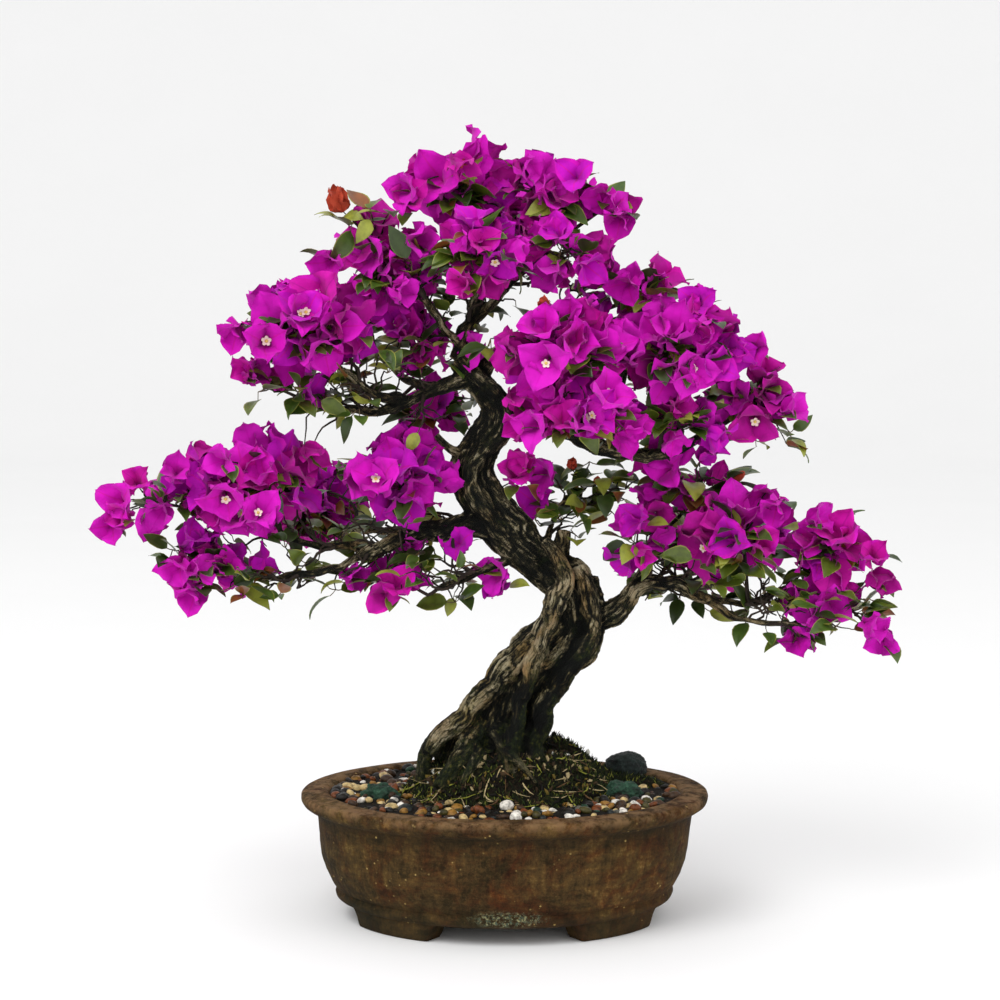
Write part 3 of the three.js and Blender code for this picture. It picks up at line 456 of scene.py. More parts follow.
def blades(shape, roots, axes, outs, lengths, widths, opens, tips, rng):
    """Points and faces of blades of one outline.

    Each starts at its root, opens from its axis towards out, and bends over to its tip's angle.
    """
    rows, columns = np.array(shape["rows"]), np.array(shape["columns"])
    count = len(roots)
    across = unit(np.cross(axes, outs))
    outs = np.cross(across, axes)
    angle = opens[:, None] + (tips - opens)[:, None] * rows ** shape["bend"]
    ahead = (np.cos(angle)[..., None] * axes[:, None] + np.sin(angle)[..., None] * outs[:, None])
    behind = (-np.sin(angle)[..., None] * axes[:, None] + np.cos(angle)[..., None] * outs[:, None])
    steps = np.diff(rows)[None, :, None] * (ahead[:, 1:] + ahead[:, :-1]) / 2
    middle = np.concatenate([np.zeros((count, 1, 3)), np.cumsum(steps, 1)], 1)
    middle = roots[:, None] + middle * lengths[:, None, None]
    half = (widths[:, None] / 2 * np.array(shape["outline"]))[..., None]
    phase = rng.uniform(0, 2 * math.pi, (count, 4, 1, 1))
    row, column = rows[None, :, None], columns[None, None]
    edge = np.where(column < 0, np.sin(phase[:, 0] + row * shape["waves"]),
                    np.sin(phase[:, 1] + row * shape["waves"] * 1.13))
    crumple = np.sin(phase[:, 2] + row * 9) * np.cos(phase[:, 3] + column * 3.4)
    lift = (shape["fold"] * np.abs(column) - shape["cup"] * column**2) * half
    lift = lift + (shape["ruffle"] * edge * np.abs(column) ** 1.6
                   + shape["crumple"] * crumple) * widths[:, None, None]
    aside = half * column * (1 - 0.05 * np.abs(edge))
    points = (middle[:, :, None] + across[:, None, None] * aside[..., None]
              + behind[:, :, None] * lift[..., None])
    return points.reshape(-1, 3), grid_faces(count, len(rows), len(columns))


# A blade's outline from root to tip, and how it folds, cups, waves and crumples. Its ribs and
# rims are columns that take a tint of their own, the rims on a share of the blades. On bracts the
# darker tint of ribs and root rows is painted shade in the crease and throat, and the lighter rim
# tint a painted sheen.
BRACT = {
    "rows": (0, 0.06, 0.16, 0.29, 0.43, 0.57, 0.7, 0.82, 0.92, 1),
    "outline": (0.12, 0.58, 0.89, 1, 0.99, 0.93, 0.78, 0.53, 0.22, 0.01),
    "columns": (-1, -0.68, -0.32, -0.05, 0.05, 0.32, 0.68, 1),
    "ribs": (3,), "rims": (0, 6), "rimmed": 0.55,
    "bend": 1.2, "waves": 13.0, "fold": -0.12, "cup": 0.14, "ruffle": 0.1, "crumple": 0.045,
}
LEAF = {
    "rows": (0, 0.1, 0.24, 0.4, 0.56, 0.72, 0.87, 1),
    "outline": (0.08, 0.6, 0.94, 1, 0.87, 0.62, 0.3, 0.01),
    "columns": (-1, -0.88, -0.44, 0, 0.44, 0.88, 1),
    "ribs": (), "rims": (0, 5), "rimmed": 1,
    "bend": 1.5, "waves": 7.0, "fold": -0.3, "cup": -0.1, "ruffle": 0.035, "crumple": 0.008,
}


# Materials


# The patch of lichen low on the pot's front, in millimetres.
LICHEN = {"centre": (2, -101, 22), "radii": (26, 50, 7.2)}


class Finish:
    """The node tree of one material, built up step by step."""

    def __init__(self, name, color, roughness, specular):
        self.material = bpy.data.materials.new(name)
        self.material.use_nodes = True
        self.tree = self.material.node_tree
        self.shader = next(n for n in self.tree.nodes if n.type == "BSDF_PRINCIPLED")
        self.shader.inputs["Base Color"].default_value = (*color, 1)
        self.shader.inputs["Roughness"].default_value = roughness
        self.shader.inputs["Specular IOR Level"].default_value = specular
        self.where = self.tree.nodes.new("ShaderNodeTexCoord").outputs["Object"]

    def feed(self, socket, value):
        """Link a socket to another one, or give it a value or colour."""
        if isinstance(value, bpy.types.NodeSocket):
            self.tree.links.new(value, socket)
        elif socket.type == "RGBA":
            socket.default_value = (*value, 1)
        else:
            socket.default_value = value

    def node(self, kind, inputs, **settings):
        made = self.tree.nodes.new(kind)
        for name, value in settings.items():
            setattr(made, name, value)
        for name, value in inputs.items():
            self.feed(made.inputs[name], value)
        return made

    def noise(self, scale, detail=4, roughness=0.55, where=None, distortion=0.0):
        return self.node("ShaderNodeTexNoise", {
            "Vector": where or self.where, "Scale": scale, "Detail": detail,
            "Roughness": roughness, "Distortion": distortion}).outputs["Fac"]

    def cells(self, scale):
        return self.node("ShaderNodeTexVoronoi", {
            "Vector": self.where, "Scale": scale}).outputs["Distance"]

    def attribute(self, name):
        return self.node("ShaderNodeAttribute", {}, attribute_name=name)

    def stretched(self, scale, where=None):
        return self.node("ShaderNodeMapping", {
            "Vector": where or self.where, "Scale": scale}).outputs[0]

    def ramp(self, value, stops):
        made = self.node("ShaderNodeValToRGB", {"Fac": value})
        elements = made.color_ramp.elements
        while len(elements) < len(stops):
            elements.new(0.5)
        for element, (position, color) in zip(elements, stops):
            element.position = position
            element.color = (*color, 1)
        return made.outputs["Color"]

    def band(self, value, low, high):
        """0 where value is below low, 1 above high."""
        return self.node("ShaderNodeMapRange", {
            "Value": value, "From Min": low, "From Max": high}, clamp=True).outputs["Result"]

    def math(self, operation, first, second=0):
        return self.node("ShaderNodeMath", {0: first, 1: second}, operation=operation).outputs[0]

    def times(self, first, second):
        return self.math("MULTIPLY", first, second)

    def mix(self, share, first, second, blend="MIX"):
        """The second colour over the first, by a share."""
        made = self.node("ShaderNodeMix", {0: share, 6: first, 7: second},
                         data_type="RGBA", blend_type=blend)
        return made.outputs[2]

    def axis(self, index):
        return self.node("ShaderNodeSeparateXYZ", {"Vector": self.where}).outputs[index]

    def color(self, source):
        self.feed(self.shader.inputs["Base Color"], source)

    def rough(self, source, low, high):
        made = self.node("ShaderNodeMapRange", {"Value": source, "To Min": low, "To Max": high})
        self.feed(self.shader.inputs["Roughness"], made.outputs["Result"])

    def bump(self, *layers):
        """Layers of height, strength and distance in metres, one over the other."""
        normal = None
        for height, strength, distance in layers:
            made = self.node("ShaderNodeBump", {
                "Height": height, "Strength": strength, "Distance": distance})
            if normal is not None:
                self.feed(made.inputs["Normal"], normal)
            normal = made.outputs["Normal"]
        self.feed(self.shader.inputs["Normal"], normal)


def clay_finish(colors):
    """Weathered unglazed stoneware: rust-brown under olive grime, with a worn rim and lichen,
    and painted shade on the body below the rim.
    """
    clay = Finish("unglazed_clay", colors.clay, 0.8, 0.12)
    broad = clay.noise(13, 6, 0.65, distortion=0.4)
    mottle = clay.noise(95, 10, 0.82, distortion=0.5)
    grain = clay.noise(320, 8, 0.8)
    streaks = clay.noise(1, 8, 0.75, clay.stretched((26, 26, 110)))
    scratches = clay.noise(1, 6, 0.8, clay.stretched((150, 150, 34)))
    mixed = clay.times(mottle, 0.34)
    for layer, share in ((broad, 0.26), (streaks, 0.26), (grain, 0.18), (scratches, 0.22)):
        mixed = clay.math("ADD", mixed, clay.times(layer, share))
    tone = clay.ramp(mixed, [(0.53, srgb(22, 19, 8)), (0.59, srgb(50, 39, 18)),
                             (0.635, tuple(colors.clay)), (0.68, srgb(90, 67, 34)),
                             (0.745, srgb(134, 108, 60))])
    rust = clay.band(clay.noise(24, 6, 0.75, distortion=0.8), 0.44, 0.66)
    tone = clay.mix(clay.times(rust, 0.7), tone, srgb(164, 72, 34), "OVERLAY")
    ends = clay.band(clay.math("ABSOLUTE", clay.axis(0)), 0.06, 0.15)
    tone = clay.mix(clay.times(ends, 0.4), tone, srgb(104, 122, 60), "OVERLAY")
    height = clay.axis(2)
    worn = clay.times(clay.band(height, 0.0935, 0.1),
                      clay.band(clay.noise(75, 7, 0.75), 0.42, 0.58))
    tone = clay.mix(clay.times(worn, 0.5), tone, srgb(158, 124, 88))
    # Painted shade: the body below the overhanging rim is darkened.
    shade_under_rim = clay.times(clay.band(height, 0.072, 0.086),
                          clay.math("SUBTRACT", 1, clay.band(height, 0.0875, 0.0925)))
    tone = clay.mix(clay.times(shade_under_rim, 0.55), tone, srgb(34, 29, 18))
    foot = clay.math("SUBTRACT", 1, clay.band(height, 0.012, 0.04))
    tone = clay.mix(clay.times(foot, 0.4), tone, srgb(48, 44, 28))
    reach = np.array(LICHEN["radii"]) * MM
    away = clay.node("ShaderNodeVectorMath", {
        0: clay.stretched(tuple((1 / reach).tolist())),
        1: tuple((place(LICHEN["centre"]) / reach).tolist())}, operation="DISTANCE")
    patch = clay.math("SUBTRACT", clay.times(clay.noise(240, 10, 0.95), 3.6), away.outputs["Value"])
    patch = clay.times(clay.band(patch, 0.7, 1.1), clay.band(grain, 0.47, 0.56))
    crust = clay.mix(clay.band(clay.noise(620, 3, 0.6), 0.5, 0.6), srgb(82, 100, 84),
                     srgb(186, 182, 132))
    tone = clay.mix(clay.times(patch, 0.75), tone, crust)
    specks = clay.band(clay.cells(150), 0.15, 0.09)
    specks = clay.times(specks, clay.band(clay.noise(48), 0.54, 0.64))
    tone = clay.mix(specks, tone, srgb(176, 150, 88))
    clay.color(tone)
    clay.rough(grain, 0.7, 1.0)
    clay.bump((grain, 0.6, 0.001), (mottle, 0.7, 0.0022), (streaks, 0.6, 0.002),
              (scratches, 0.8, 0.0018))
    return clay.material


def bark_finish(colors):
    """Old bark: near-black fissures, grey-tan weathered plates, and moss in its shade. Part of the
    fissures' darkness is painted shade in hollows, and part of the plates' paleness painted light
    on bulges.
    """
    bark = Finish("old_bark", colors.bark, 0.9, 0.25)
    # The relief read here holds painted shade in hollows and painted light on bulges; the pale and
    # dark patches hold painted shade where they are dark.
    relief, mossy, age_and_painted_shade = (
        bark.attribute(name).outputs["Fac"] for name in ("relief", "moss", "age_and_painted_shade"))
    grain = bark.attribute("grain").outputs["Vector"]
    bend = bark.node("ShaderNodeTexNoise", {"Vector": grain, "Scale": 0.07, "Detail": 4}).outputs[1]
    bent = bark.node("ShaderNodeVectorMath", {0: bend, 1: (7, 7, 30), 2: grain},
                     operation="MULTIPLY_ADD").outputs[0]

    def drawn(across, along):
        return bark.stretched((across, across, along), bent)

    def fissures(across, along, width):
        """1 along fine wandering lines in the grain, 0 between them."""
        line = bark.math("SUBTRACT", bark.noise(1, 4, 0.6, drawn(across, along)), 0.5)
        return bark.band(bark.math("ABSOLUTE", line), width, 0.25 * width)

    fibres = bark.noise(1, 7, 0.8, drawn(0.9, 0.1))
    streaks = bark.noise(1, 5, 0.65, drawn(0.2, 0.026))
    crack = bark.math("MAXIMUM", fissures(0.3, 0.03, 0.045),
                      bark.times(fissures(0.62, 0.08, 0.05), 0.6))
    plates = bark.noise(1, 3, 0.6, drawn(0.07, 0.03))
    height = relief
    for layer, middle, share in ((fibres, 0.48, 0.85), (streaks, 0.48, 0.7), (plates, 0.48, 1.2),
                                 (age_and_painted_shade, 0.5, 0.85), (crack, 0.0, -0.38)):
        raised = bark.times(bark.math("SUBTRACT", layer, middle), share)
        height = bark.math("ADD", height, raised)
    tone = bark.ramp(height, [(0.14, srgb(4, 7, 4)), (0.33, srgb(19, 22, 14)),
                              (0.47, tuple(colors.bark)), (0.59, srgb(98, 91, 66)),
                              (0.71, srgb(150, 139, 108)), (0.87, srgb(196, 186, 156))])
    ochre = bark.band(bark.noise(34, 4, 0.6), 0.44, 0.62)
    tone = bark.mix(bark.times(ochre, 0.7), tone, srgb(126, 100, 34), "OVERLAY")
    stain = bark.times(bark.band(bark.axis(2), 0.28, 0.17),
                      bark.band(bark.noise(44, 5, 0.7), 0.47, 0.6))
    tone = bark.mix(bark.times(stain, 0.6), tone, srgb(142, 132, 44), "OVERLAY")
    patch = bark.math("ADD", bark.noise(58, 6, 0.75, distortion=0.6),
                      bark.times(mossy, 0.34))
    moss = bark.band(patch, 0.56, 0.66)
    green = bark.ramp(bark.noise(330, 5, 0.75), [
        (0.32, srgb(6, 12, 7)), (0.52, srgb(30, 42, 18)), (0.7, srgb(108, 108, 44))])
    tone = bark.mix(bark.times(moss, 0.75), tone, green)
    bark.color(tone)
    bark.rough(fibres, 0.7, 1.0)
    bark.bump((bark.math("SUBTRACT", 1, crack), 1.0, 0.0022), (fibres, 1.0, 0.0028),
              (bark.noise(520, 5, 0.7), 0.5, 0.001))
    return bark.material


def tissue(name, color, low, high, roughness, specular, sheen):
    """A thin plant skin: one colour that lightens and darkens a little over the tissue."""
    color = tuple(float(c) for c in np.clip(color, 0, 1))
    skin = Finish(name, color, sum(roughness) / 2, specular)
    tone = skin.noise(110, 4, 0.6)
    skin.color(skin.ramp(tone, [(0.3, tuple(low * c for c in color)), (0.5, color),
                                (0.72, tuple(min(1, high * c) for c in color))]))
    skin.rough(tone, *roughness)
    skin.shader.inputs["Sheen Weight"].default_value = sheen
    skin.bump((skin.noise(380, 3), 0.25, 0.0006))
    return skin.material


def papery_finish(name, color):
    """The papery tissue of bracts, stars and buds."""
    return tissue(name, color, 0.78, 1.12, (0.5, 0.8), 0.14, 0.09)


def leaf_finish(name, color):
    """The waxy tissue of leaves."""
    return tissue(name, color, 0.6, 1.3, (0.3, 0.5), 0.5, 0.0)


def twig_finish():
    """Thin dark twigs."""
    return tissue("twig_bark", srgb(44, 36, 29), 0.4, 2.2, (0.75, 0.95), 0.3, 0.0)


def blade_finish(name, color):
    """Short blades of moss, straws and rootlets."""
    return tissue(name, color, 0.6, 1.4, (0.7, 0.9), 0.2, 0.0)


def pebble_finish(name, color):
    """A damp river pebble."""
    stone = Finish(name, color, 0.4, 0.3)
    stone.color(stone.ramp(stone.noise(260, 5, 0.6), [
        (0.34, tuple(0.35 * c for c in color)), (0.55, color),
        (0.8, tuple(min(1, 1.25 * c + 0.02) for c in color))]))
    stone.rough(stone.noise(500), 0.3, 0.7)
    return stone.material


def soil_finish(name, dark, light):
    """Crumbly earth."""
    soil = Finish(name, dark, 0.95, 0.2)
    crumbs = soil.noise(160, 8, 0.75)
    soil.color(soil.ramp(crumbs, [(0.35, dark), (0.55, light), (0.75, dark)]))
    soil.bump((crumbs, 0.9, 0.003), (soil.cells(352), 0.5, 0.0015))
    return soil.material


def moss_finish():
    """Dark moss over earth."""
    moss = Finish("dark_moss", srgb(30, 38, 14), 0.95, 0.15)
    tufts = moss.noise(300, 8, 0.8)
    patches = moss.noise(45, 5, 0.6)
    green = moss.ramp(tufts, [(0.34, srgb(7, 9, 5)), (0.5, srgb(24, 32, 12)),
                              (0.66, srgb(70, 76, 30)), (0.8, srgb(124, 122, 58))])
    earth = moss.ramp(tufts, [(0.38, srgb(9, 8, 6)), (0.58, srgb(40, 32, 21)),
                              (0.76, srgb(108, 88, 58))])
    moss.color(moss.mix(moss.band(patches, 0.42, 0.6), earth, green))
    moss.bump((tufts, 1.0, 0.003), (moss.cells(420), 0.7, 0.0015))
    return moss.material


def rock_finish(name, dark, light):
    """Dark stone grown over with algae."""
    rock = Finish(name, dark, 0.6, 0.4)
    rough = rock.noise(190, 8, 0.8)
    pale = tuple(min(1.0, 2.4 * c + 0.05) for c in light)
    rock.color(rock.ramp(rough, [(0.36, dark), (0.56, light), (0.74, pale)]))
    rock.rough(rough, 0.35, 0.9)
    rock.bump((rough, 1.0, 0.003), (rock.cells(300), 0.6, 0.002))
    return rock.material


# Pot


def pot_points(segments):
    """Rings of the pot from under its foot over the rim to the inside."""
    corners = np.array(POT_PROFILE[1:], float)
    wall = spline(np.c_[corners, np.zeros(len(corners))], 4)[:, :2]
    turn = np.linspace(0, 2 * math.pi, segments, endpoint=False)
    foot_half, (wall_half, top) = POT_PROFILE[0][0], POT_PROFILE[1]
    foot = smoothstep(*FOOT_ALONG, np.abs(foot_half * np.cos(turn))) * smoothstep(
        *FOOT_ACROSS, np.abs(foot_half * POT_DEPTH * np.sin(turn)))
    low = ARCH * (1 - foot)
    rings = [(40.0, UNDERSIDE)]
    for radius, share in ((100, 0), (102.5, 0.1), (104, 0.9), (105.5, 1)):
        rings.append((radius, UNDERSIDE + (low - UNDERSIDE) * share))
    for radius, share in ((123, 1), (125.4, 0.985), (126.3, 0.92)):
        rings.append((radius, top + (low - top) * share))
    for share in (0.7, 0.45, 0.2):
        bulge = 0.8 * share * (1 - share)
        rings.append((wall_half - 3.3 * share + bulge, top + (low - top) * share))
    rings += [*wall, (137.0, 84.0)]
    return np.array([
        np.stack([radius * np.cos(turn), POT_DEPTH * radius * np.sin(turn), height + 0 * turn], -1)
        for radius, height in rings])


class BONSAI_PG_pot(bpy.types.PropertyGroup):
    segments: IntProperty(
        name="Segments", description="Faces round the pot", default=440, min=64)
    unevenness: FloatProperty(
        name="Unevenness", description="How far the hand-made wall wanders",
        default=0.0007, min=0, unit="LENGTH")


class BONSAI_PG_ground(bpy.types.PropertyGroup):
    pebbles: IntProperty(
        name="Pebbles", description="Pebbles strewn round the mound", default=1900, min=1)
    pebble_size: FloatProperty(
        name="Pebble size", description="Length of a middling pebble",
        default=0.0094, min=0.002, unit="LENGTH")
    tufts: IntProperty(
        name="Moss tufts", description="Tufts of moss on the mound", default=6800, min=1)
    straws: IntProperty(
        name="Straws", description="Dry blades and rootlets on the mound", default=84, min=1)
    flakes: IntProperty(
        name="Flakes", description="Flakes of bark and dead leaf on the mound", default=900,
        min=1)


class BONSAI_PG_bark(bpy.types.PropertyGroup):
    voxel: FloatProperty(
        name="Grain", description="Edge of the faces that carry the bark's relief",
        default=0.00125, min=0.0006, unit="LENGTH")
    depth: FloatProperty(
        name="Fissure depth", description="Depth of the deepest fissures",
        default=0.0036, min=0, unit="LENGTH")
    twist: FloatProperty(
        name="Twist", description="Turn of the grain over a metre of limb",
        default=math.radians(300), unit="ROTATION")


class BONSAI_PG_foliage(bpy.types.PropertyGroup):
    bract_length: FloatProperty(
        name="Bract length", description="Length of a papery bract", default=0.034,
        min=0.01, unit="LENGTH")
    leaf_length: FloatProperty(
        name="Leaf length", description="Length of a full-grown leaf", default=0.0275,
        min=0.01, unit="LENGTH")
    heads: FloatProperty(
        name="Heads", description="Twigs to each square decimetre of a mass's outline",
        default=23.5, min=1)
    open_flowers: FloatProperty(
        name="Open flowers", description="Share of blossom heads with a white star flower",
        default=0.07, min=0, max=1, subtype="FACTOR")
    spurs: IntProperty(
        name="Spurs", description="Short twigs on the bare boughs", default=110, min=0)
    branchlets: IntProperty(
        name="Branchlets", description="Crooked forking branchlets along the boughs",
        default=110, min=0)


class BONSAI_PG_colors(bpy.types.PropertyGroup):
    clay: FloatVectorProperty(
        name="Clay", description="The pot's unglazed clay", subtype="COLOR", size=3,
        min=0, max=1, default=srgb(72, 55, 30))
    bark: FloatVectorProperty(
        name="Bark", description="Bark between its fissures and ridges", subtype="COLOR",
        size=3, min=0, max=1, default=srgb(46, 43, 30))
    bract: FloatVectorProperty(
        name="Bract", description="The papery bracts", subtype="COLOR", size=3, min=0, max=1,
        default=srgb(200, 5, 176))
    leaf: FloatVectorProperty(
        name="Leaf", description="A full-grown leaf", subtype="COLOR", size=3, min=0, max=1,
        default=srgb(66, 90, 28))


class BONSAI_PG_stage(bpy.types.PropertyGroup):
    distance: FloatProperty(
        name="Camera distance", description="Camera's distance in front of the pot's middle",
        default=2.0, min=0.2, unit="LENGTH")
    height: FloatProperty(
        name="Camera height", description="Camera's height over the pot's feet",
        default=0.5395, unit="LENGTH")
    aside: FloatProperty(
        name="Camera aside", description="Camera's place to the right of the pot's middle",
        default=-0.0036, unit="LENGTH")
    pitch: FloatProperty(
        name="Camera pitch", description="How far the camera looks down",
        default=math.radians(5.88), unit="ROTATION")
    lens: FloatProperty(
        name="Lens", description="Focal length on a sensor 36 mm wide", default=91.55,
        min=10, unit="CAMERA")
    backdrop: FloatVectorProperty(
        name="Backdrop", description="The pale floor and wall", subtype="COLOR", size=3,
        min=0, max=1, default=(0.93, 0.93, 0.93))


class BONSAI_OT_pot(bpy.types.Operator):
    """Model the oval pot with its lip, bead, lower moulding and bracket feet"""

    bl_idname = "bonsai.make_pot"
    bl_label = "Pot"

    def execute(self, context):
        sizes, colors = context.scene.bonsai_pot, context.scene.bonsai_colors
        rings = pot_points(sizes.segments)
        smooth = rings.reshape(-1, 3)
        outward = unit(smooth * [1, 1, 0])
        wander = noise_over(smooth, [0.03, 0.03, 0.05])
        ripple = noise_over(smooth, [0.05, 0.05, 0.35])
        above_feet = smoothstep(0, 6, smooth[:, 2])
        shift = (wander + 0.45 * ripple - 0.4) * sizes.unevenness / MM * above_feet
        points = place(smooth + outward * shift[:, None])
        faces = grid_faces(1, len(rings), sizes.segments, closed=True)
        piece = new_piece("clay_pot", points, faces, [clay_finish(colors)], "pot")
        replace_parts(piece, "pot")
        return {"FINISHED"}


# Ground


def from_middle(x, y):
    """0 at the pot's middle, rising with the square of the distance to 1 at the gravel's edge."""
    return (x / GRAVEL_HALF) ** 2 + (y / (GRAVEL_HALF * POT_DEPTH)) ** 2


def inside(shape, x, y):
    """1 over the middle of a rounded shape of the tables, and below 0 outside it."""
    (cx, cy, _), (rx, ry, _) = shape["centre"], shape["radii"]
    return 1 - ((x - cx) / rx) ** 2 - ((y - cy) / ry) ** 2


def from_mound(x, y):
    """0 at the mound's middle, 1 at its edge."""
    (cx, cy), (rx, ry) = MOUND["centre"], MOUND["radii"]
    return np.hypot((x - cx) / rx, (y - cy) / ry)


def on_mound(out, turn):
    """The place at a share of the mound's reach in some direction."""
    (cx, cy), (rx, ry) = MOUND["centre"], MOUND["radii"]
    return cx + rx * out * np.cos(turn), cy + ry * out * np.sin(turn)


def tongue(turn):
    """1 in the way in which the mound runs out further, and 0 in others."""
    way, width = TONGUE
    return np.exp(-((turn - way) / width) ** 2)


def mound_height(x, y):
    """Height of the mossy mound over the pot's feet, in millimetres."""
    climb = MOUND["top"] - GRAVEL_TOP + 4
    height = GRAVEL_TOP - 1 + climb * (1 - smoothstep(0.5, 1.03, from_mound(x, y)))
    on_ledge, on_lump = inside(LEDGE, x, y), inside(LUMP, x, y)
    ledge = LEDGE["centre"][2] + LEDGE["radii"][2] * np.maximum(on_ledge, 0) ** 0.7
    height = np.where(on_ledge > 0, np.maximum(height, ledge), height)
    for cx, cy, reach, rise in COLLAR:
        height = height + rise * np.exp(-((x - cx) ** 2 + (y - cy) ** 2) / reach**2)
    falling = np.clip(1.12 - (x - 30) / 75, 0.5, 1)
    lump = LUMP["centre"][2] + LUMP["radii"][2] * np.maximum(on_lump, 0) ** 0.8 * falling
    return np.maximum(height, np.where(on_lump > 0, lump, 0))


def ground_height(x, y):
    """The mound's height with its bumps and crumbs."""
    spots = np.c_[x, y, 0 * x]
    bumps = (3.2 * noise_over(spots, 0.05, (0, 0, 0.3))
             + 2.2 * noise_over(spots, 0.14, (0, 0, 5.1))
             + noise_over(spots, 0.4, (0, 0, 9.7)))
    return mound_height(x, y) + bumps - 1.5


def ball(level):
    """Points and faces of a ball of triangles."""
    shape = bmesh.new()
    bmesh.ops.create_icosphere(shape, subdivisions=level, radius=1)
    points = np.array([v.co[:] for v in shape.verts])
    faces = np.array([[v.index for v in face.verts] for face in shape.faces])
    shape.free()
    return points, faces


def many(points, faces, places, scales, turns):
    """Copies of one shape, each scaled, turned and moved."""
    moved = np.einsum("nij,nkj->nki", turns, points[None] * scales[:, None]) + places[:, None]
    starts = np.arange(len(places))[:, None, None] * len(points)
    return moved.reshape(-1, 3), (faces[None] + starts).reshape(-1, faces.shape[1])


def any_turns(count, rng):
    """Turns about random axes."""
    w, x, y, z = unit(rng.normal(size=(count, 4))).T
    return np.stack([
        np.stack([1 - 2 * (y * y + z * z), 2 * (x * y - z * w), 2 * (x * z + y * w)], -1),
        np.stack([2 * (x * y + z * w), 1 - 2 * (x * x + z * z), 2 * (y * z - x * w)], -1),
        np.stack([2 * (x * z - y * w), 2 * (y * z + x * w), 1 - 2 * (x * x + y * y)], -1)], 1)


# Kinds of pebbles, flakes, tufts and straws: name, colour and share.
PEBBLES = [
    ("white", srgb(236, 230, 218), 0.12), ("cream", srgb(204, 178, 122), 0.14),
    ("ochre", srgb(142, 102, 38), 0.13), ("rust", srgb(112, 58, 20), 0.13),
    ("brown", srgb(62, 41, 22), 0.17), ("umber", srgb(20, 16, 10), 0.19),
    ("grey", srgb(92, 90, 80), 0.04), ("slate", srgb(22, 30, 29), 0.06),
    ("teal", srgb(28, 60, 42), 0.03), ("olive", srgb(66, 60, 20), 0.05),
]
FLAKES = [
    ("flake_pale", srgb(150, 134, 98), 0.12), ("flake_ochre", srgb(104, 88, 36), 0.15),
    ("flake_brown", srgb(58, 44, 27), 0.3), ("flake_dark", srgb(17, 14, 10), 0.4),
    ("flake_grit", srgb(222, 220, 208), 0.03),
]
TUFTS = [
    ("moss_blade_dark", srgb(17, 24, 9), 0.56), ("moss_blade_mid", srgb(44, 56, 20), 0.32),
    ("moss_blade_light", srgb(112, 116, 48), 0.12),
]
STRAWS = [
    ("straw_pale", srgb(176, 158, 116), 0.42), ("straw_green", srgb(142, 144, 56), 0.33),
    ("straw_brown", srgb(92, 68, 44), 0.25),
]
# How near pebbles may lie to each other, and the squares that they are sought in.
PEBBLE_GAP = 5.0
PEBBLE_SQUARE = 6


def dealt(kinds, count, rng):
    """A kind for each of some things, by the kinds' shares."""
    shares = np.array([share for _, _, share in kinds])
    return rng.choice(len(kinds), count, p=shares / shares.sum())


def pebble_spots(wanted, rng):
    """Places for pebbles on the gravel beside the mound, none too near another."""
    spots = rng.uniform((-139, -109), (139, 109), (wanted * 6, 2))
    spots = spots[from_middle(*spots.T) < 1]
    spots = spots[mound_height(*spots.T) < GRAVEL_TOP + 2.5]
    kept, squares = [], {}
    for spot in spots:
        column, row = (int(place_on // PEBBLE_SQUARE) for place_on in spot)
        near = [p for i in (-1, 0, 1) for j in (-1, 0, 1)
                for p in squares.get((column + i, row + j), ())]
        if all(math.dist(spot, p) > PEBBLE_GAP for p in near):
            squares.setdefault((column, row), []).append(spot)
            kept.append(spot)
        if len(kept) >= wanted:
            break
    if not kept:
        raise RuntimeError("No pebble finds a place on the gravel")
    return np.array(kept)


class BONSAI_OT_ground(bpy.types.Operator):
    """Strew the pebbles and finish the soil below them"""

    bl_idname = "bonsai.make_ground"
    bl_label = "Gravel"

    def execute(self, context):
        sizes = context.scene.bonsai_ground
        # Near-black earth under the pebbles: partly the soil's colour, partly painted shade in the
        # gaps between pebbles.
        earth = soil_finish("earth_with_painted_gap_shade", srgb(6, 5, 3), srgb(24, 18, 11))
        for node in ("soil", "gravel"):
            bed = frame["nodes"][node]
            bed.data.materials.clear()
            bed.data.materials.append(earth)
        rng = np.random.default_rng(11)
        spots = pebble_spots(sizes.pebbles, rng)
        count = len(spots)
        size = sizes.pebble_size / MM * rng.uniform(0.55, 1.3, count) / 2
        scales = size[:, None] * rng.uniform((0.85, 0.7, 0.5), (1.15, 1, 0.85), (count, 3))
        height = GRAVEL_TOP + rng.uniform(-5.2, 2.0, count)
        height = height + 0.8 * (1 - from_middle(*spots.T))
        points, faces = ball(2)
        points = points * (1 + 0.06 * np.sin(3 * points[:, :1] + 5 * points[:, 1:2]))
        points, faces = many(points, faces, np.c_[spots, height], scales,
                             self.lying(any_turns(count, rng)))
        kinds = dealt(PEBBLES, count, rng)
        finishes = [pebble_finish("pebble_" + name, color) for name, color, _ in PEBBLES]
        per = len(faces) // count
        in_front = spots[:, 1] < 0
        for name, chosen in (("pebbles_front", in_front), ("pebbles_back", ~in_front)):
            used, compact = np.unique(faces[np.repeat(chosen, per)], return_inverse=True)
            new_piece(name, place(points[used]), compact.reshape(-1, 3), finishes, "gravel",
                      np.repeat(kinds[chosen], per))
        return {"FINISHED"}

    def lying(self, turns):
        """Turns with their third axis drawn upright, as flat pebbles come to rest."""
        upright = np.sign(turns[:, 2:3, 2]) * np.array([0, 0, 1.0])
        tilt = unit(turns[:, :, 2] + 1.1 * upright)
        first = unit(np.cross(turns[:, :, 1], tilt))
        return np.stack([first, np.cross(tilt, first), tilt], -1)


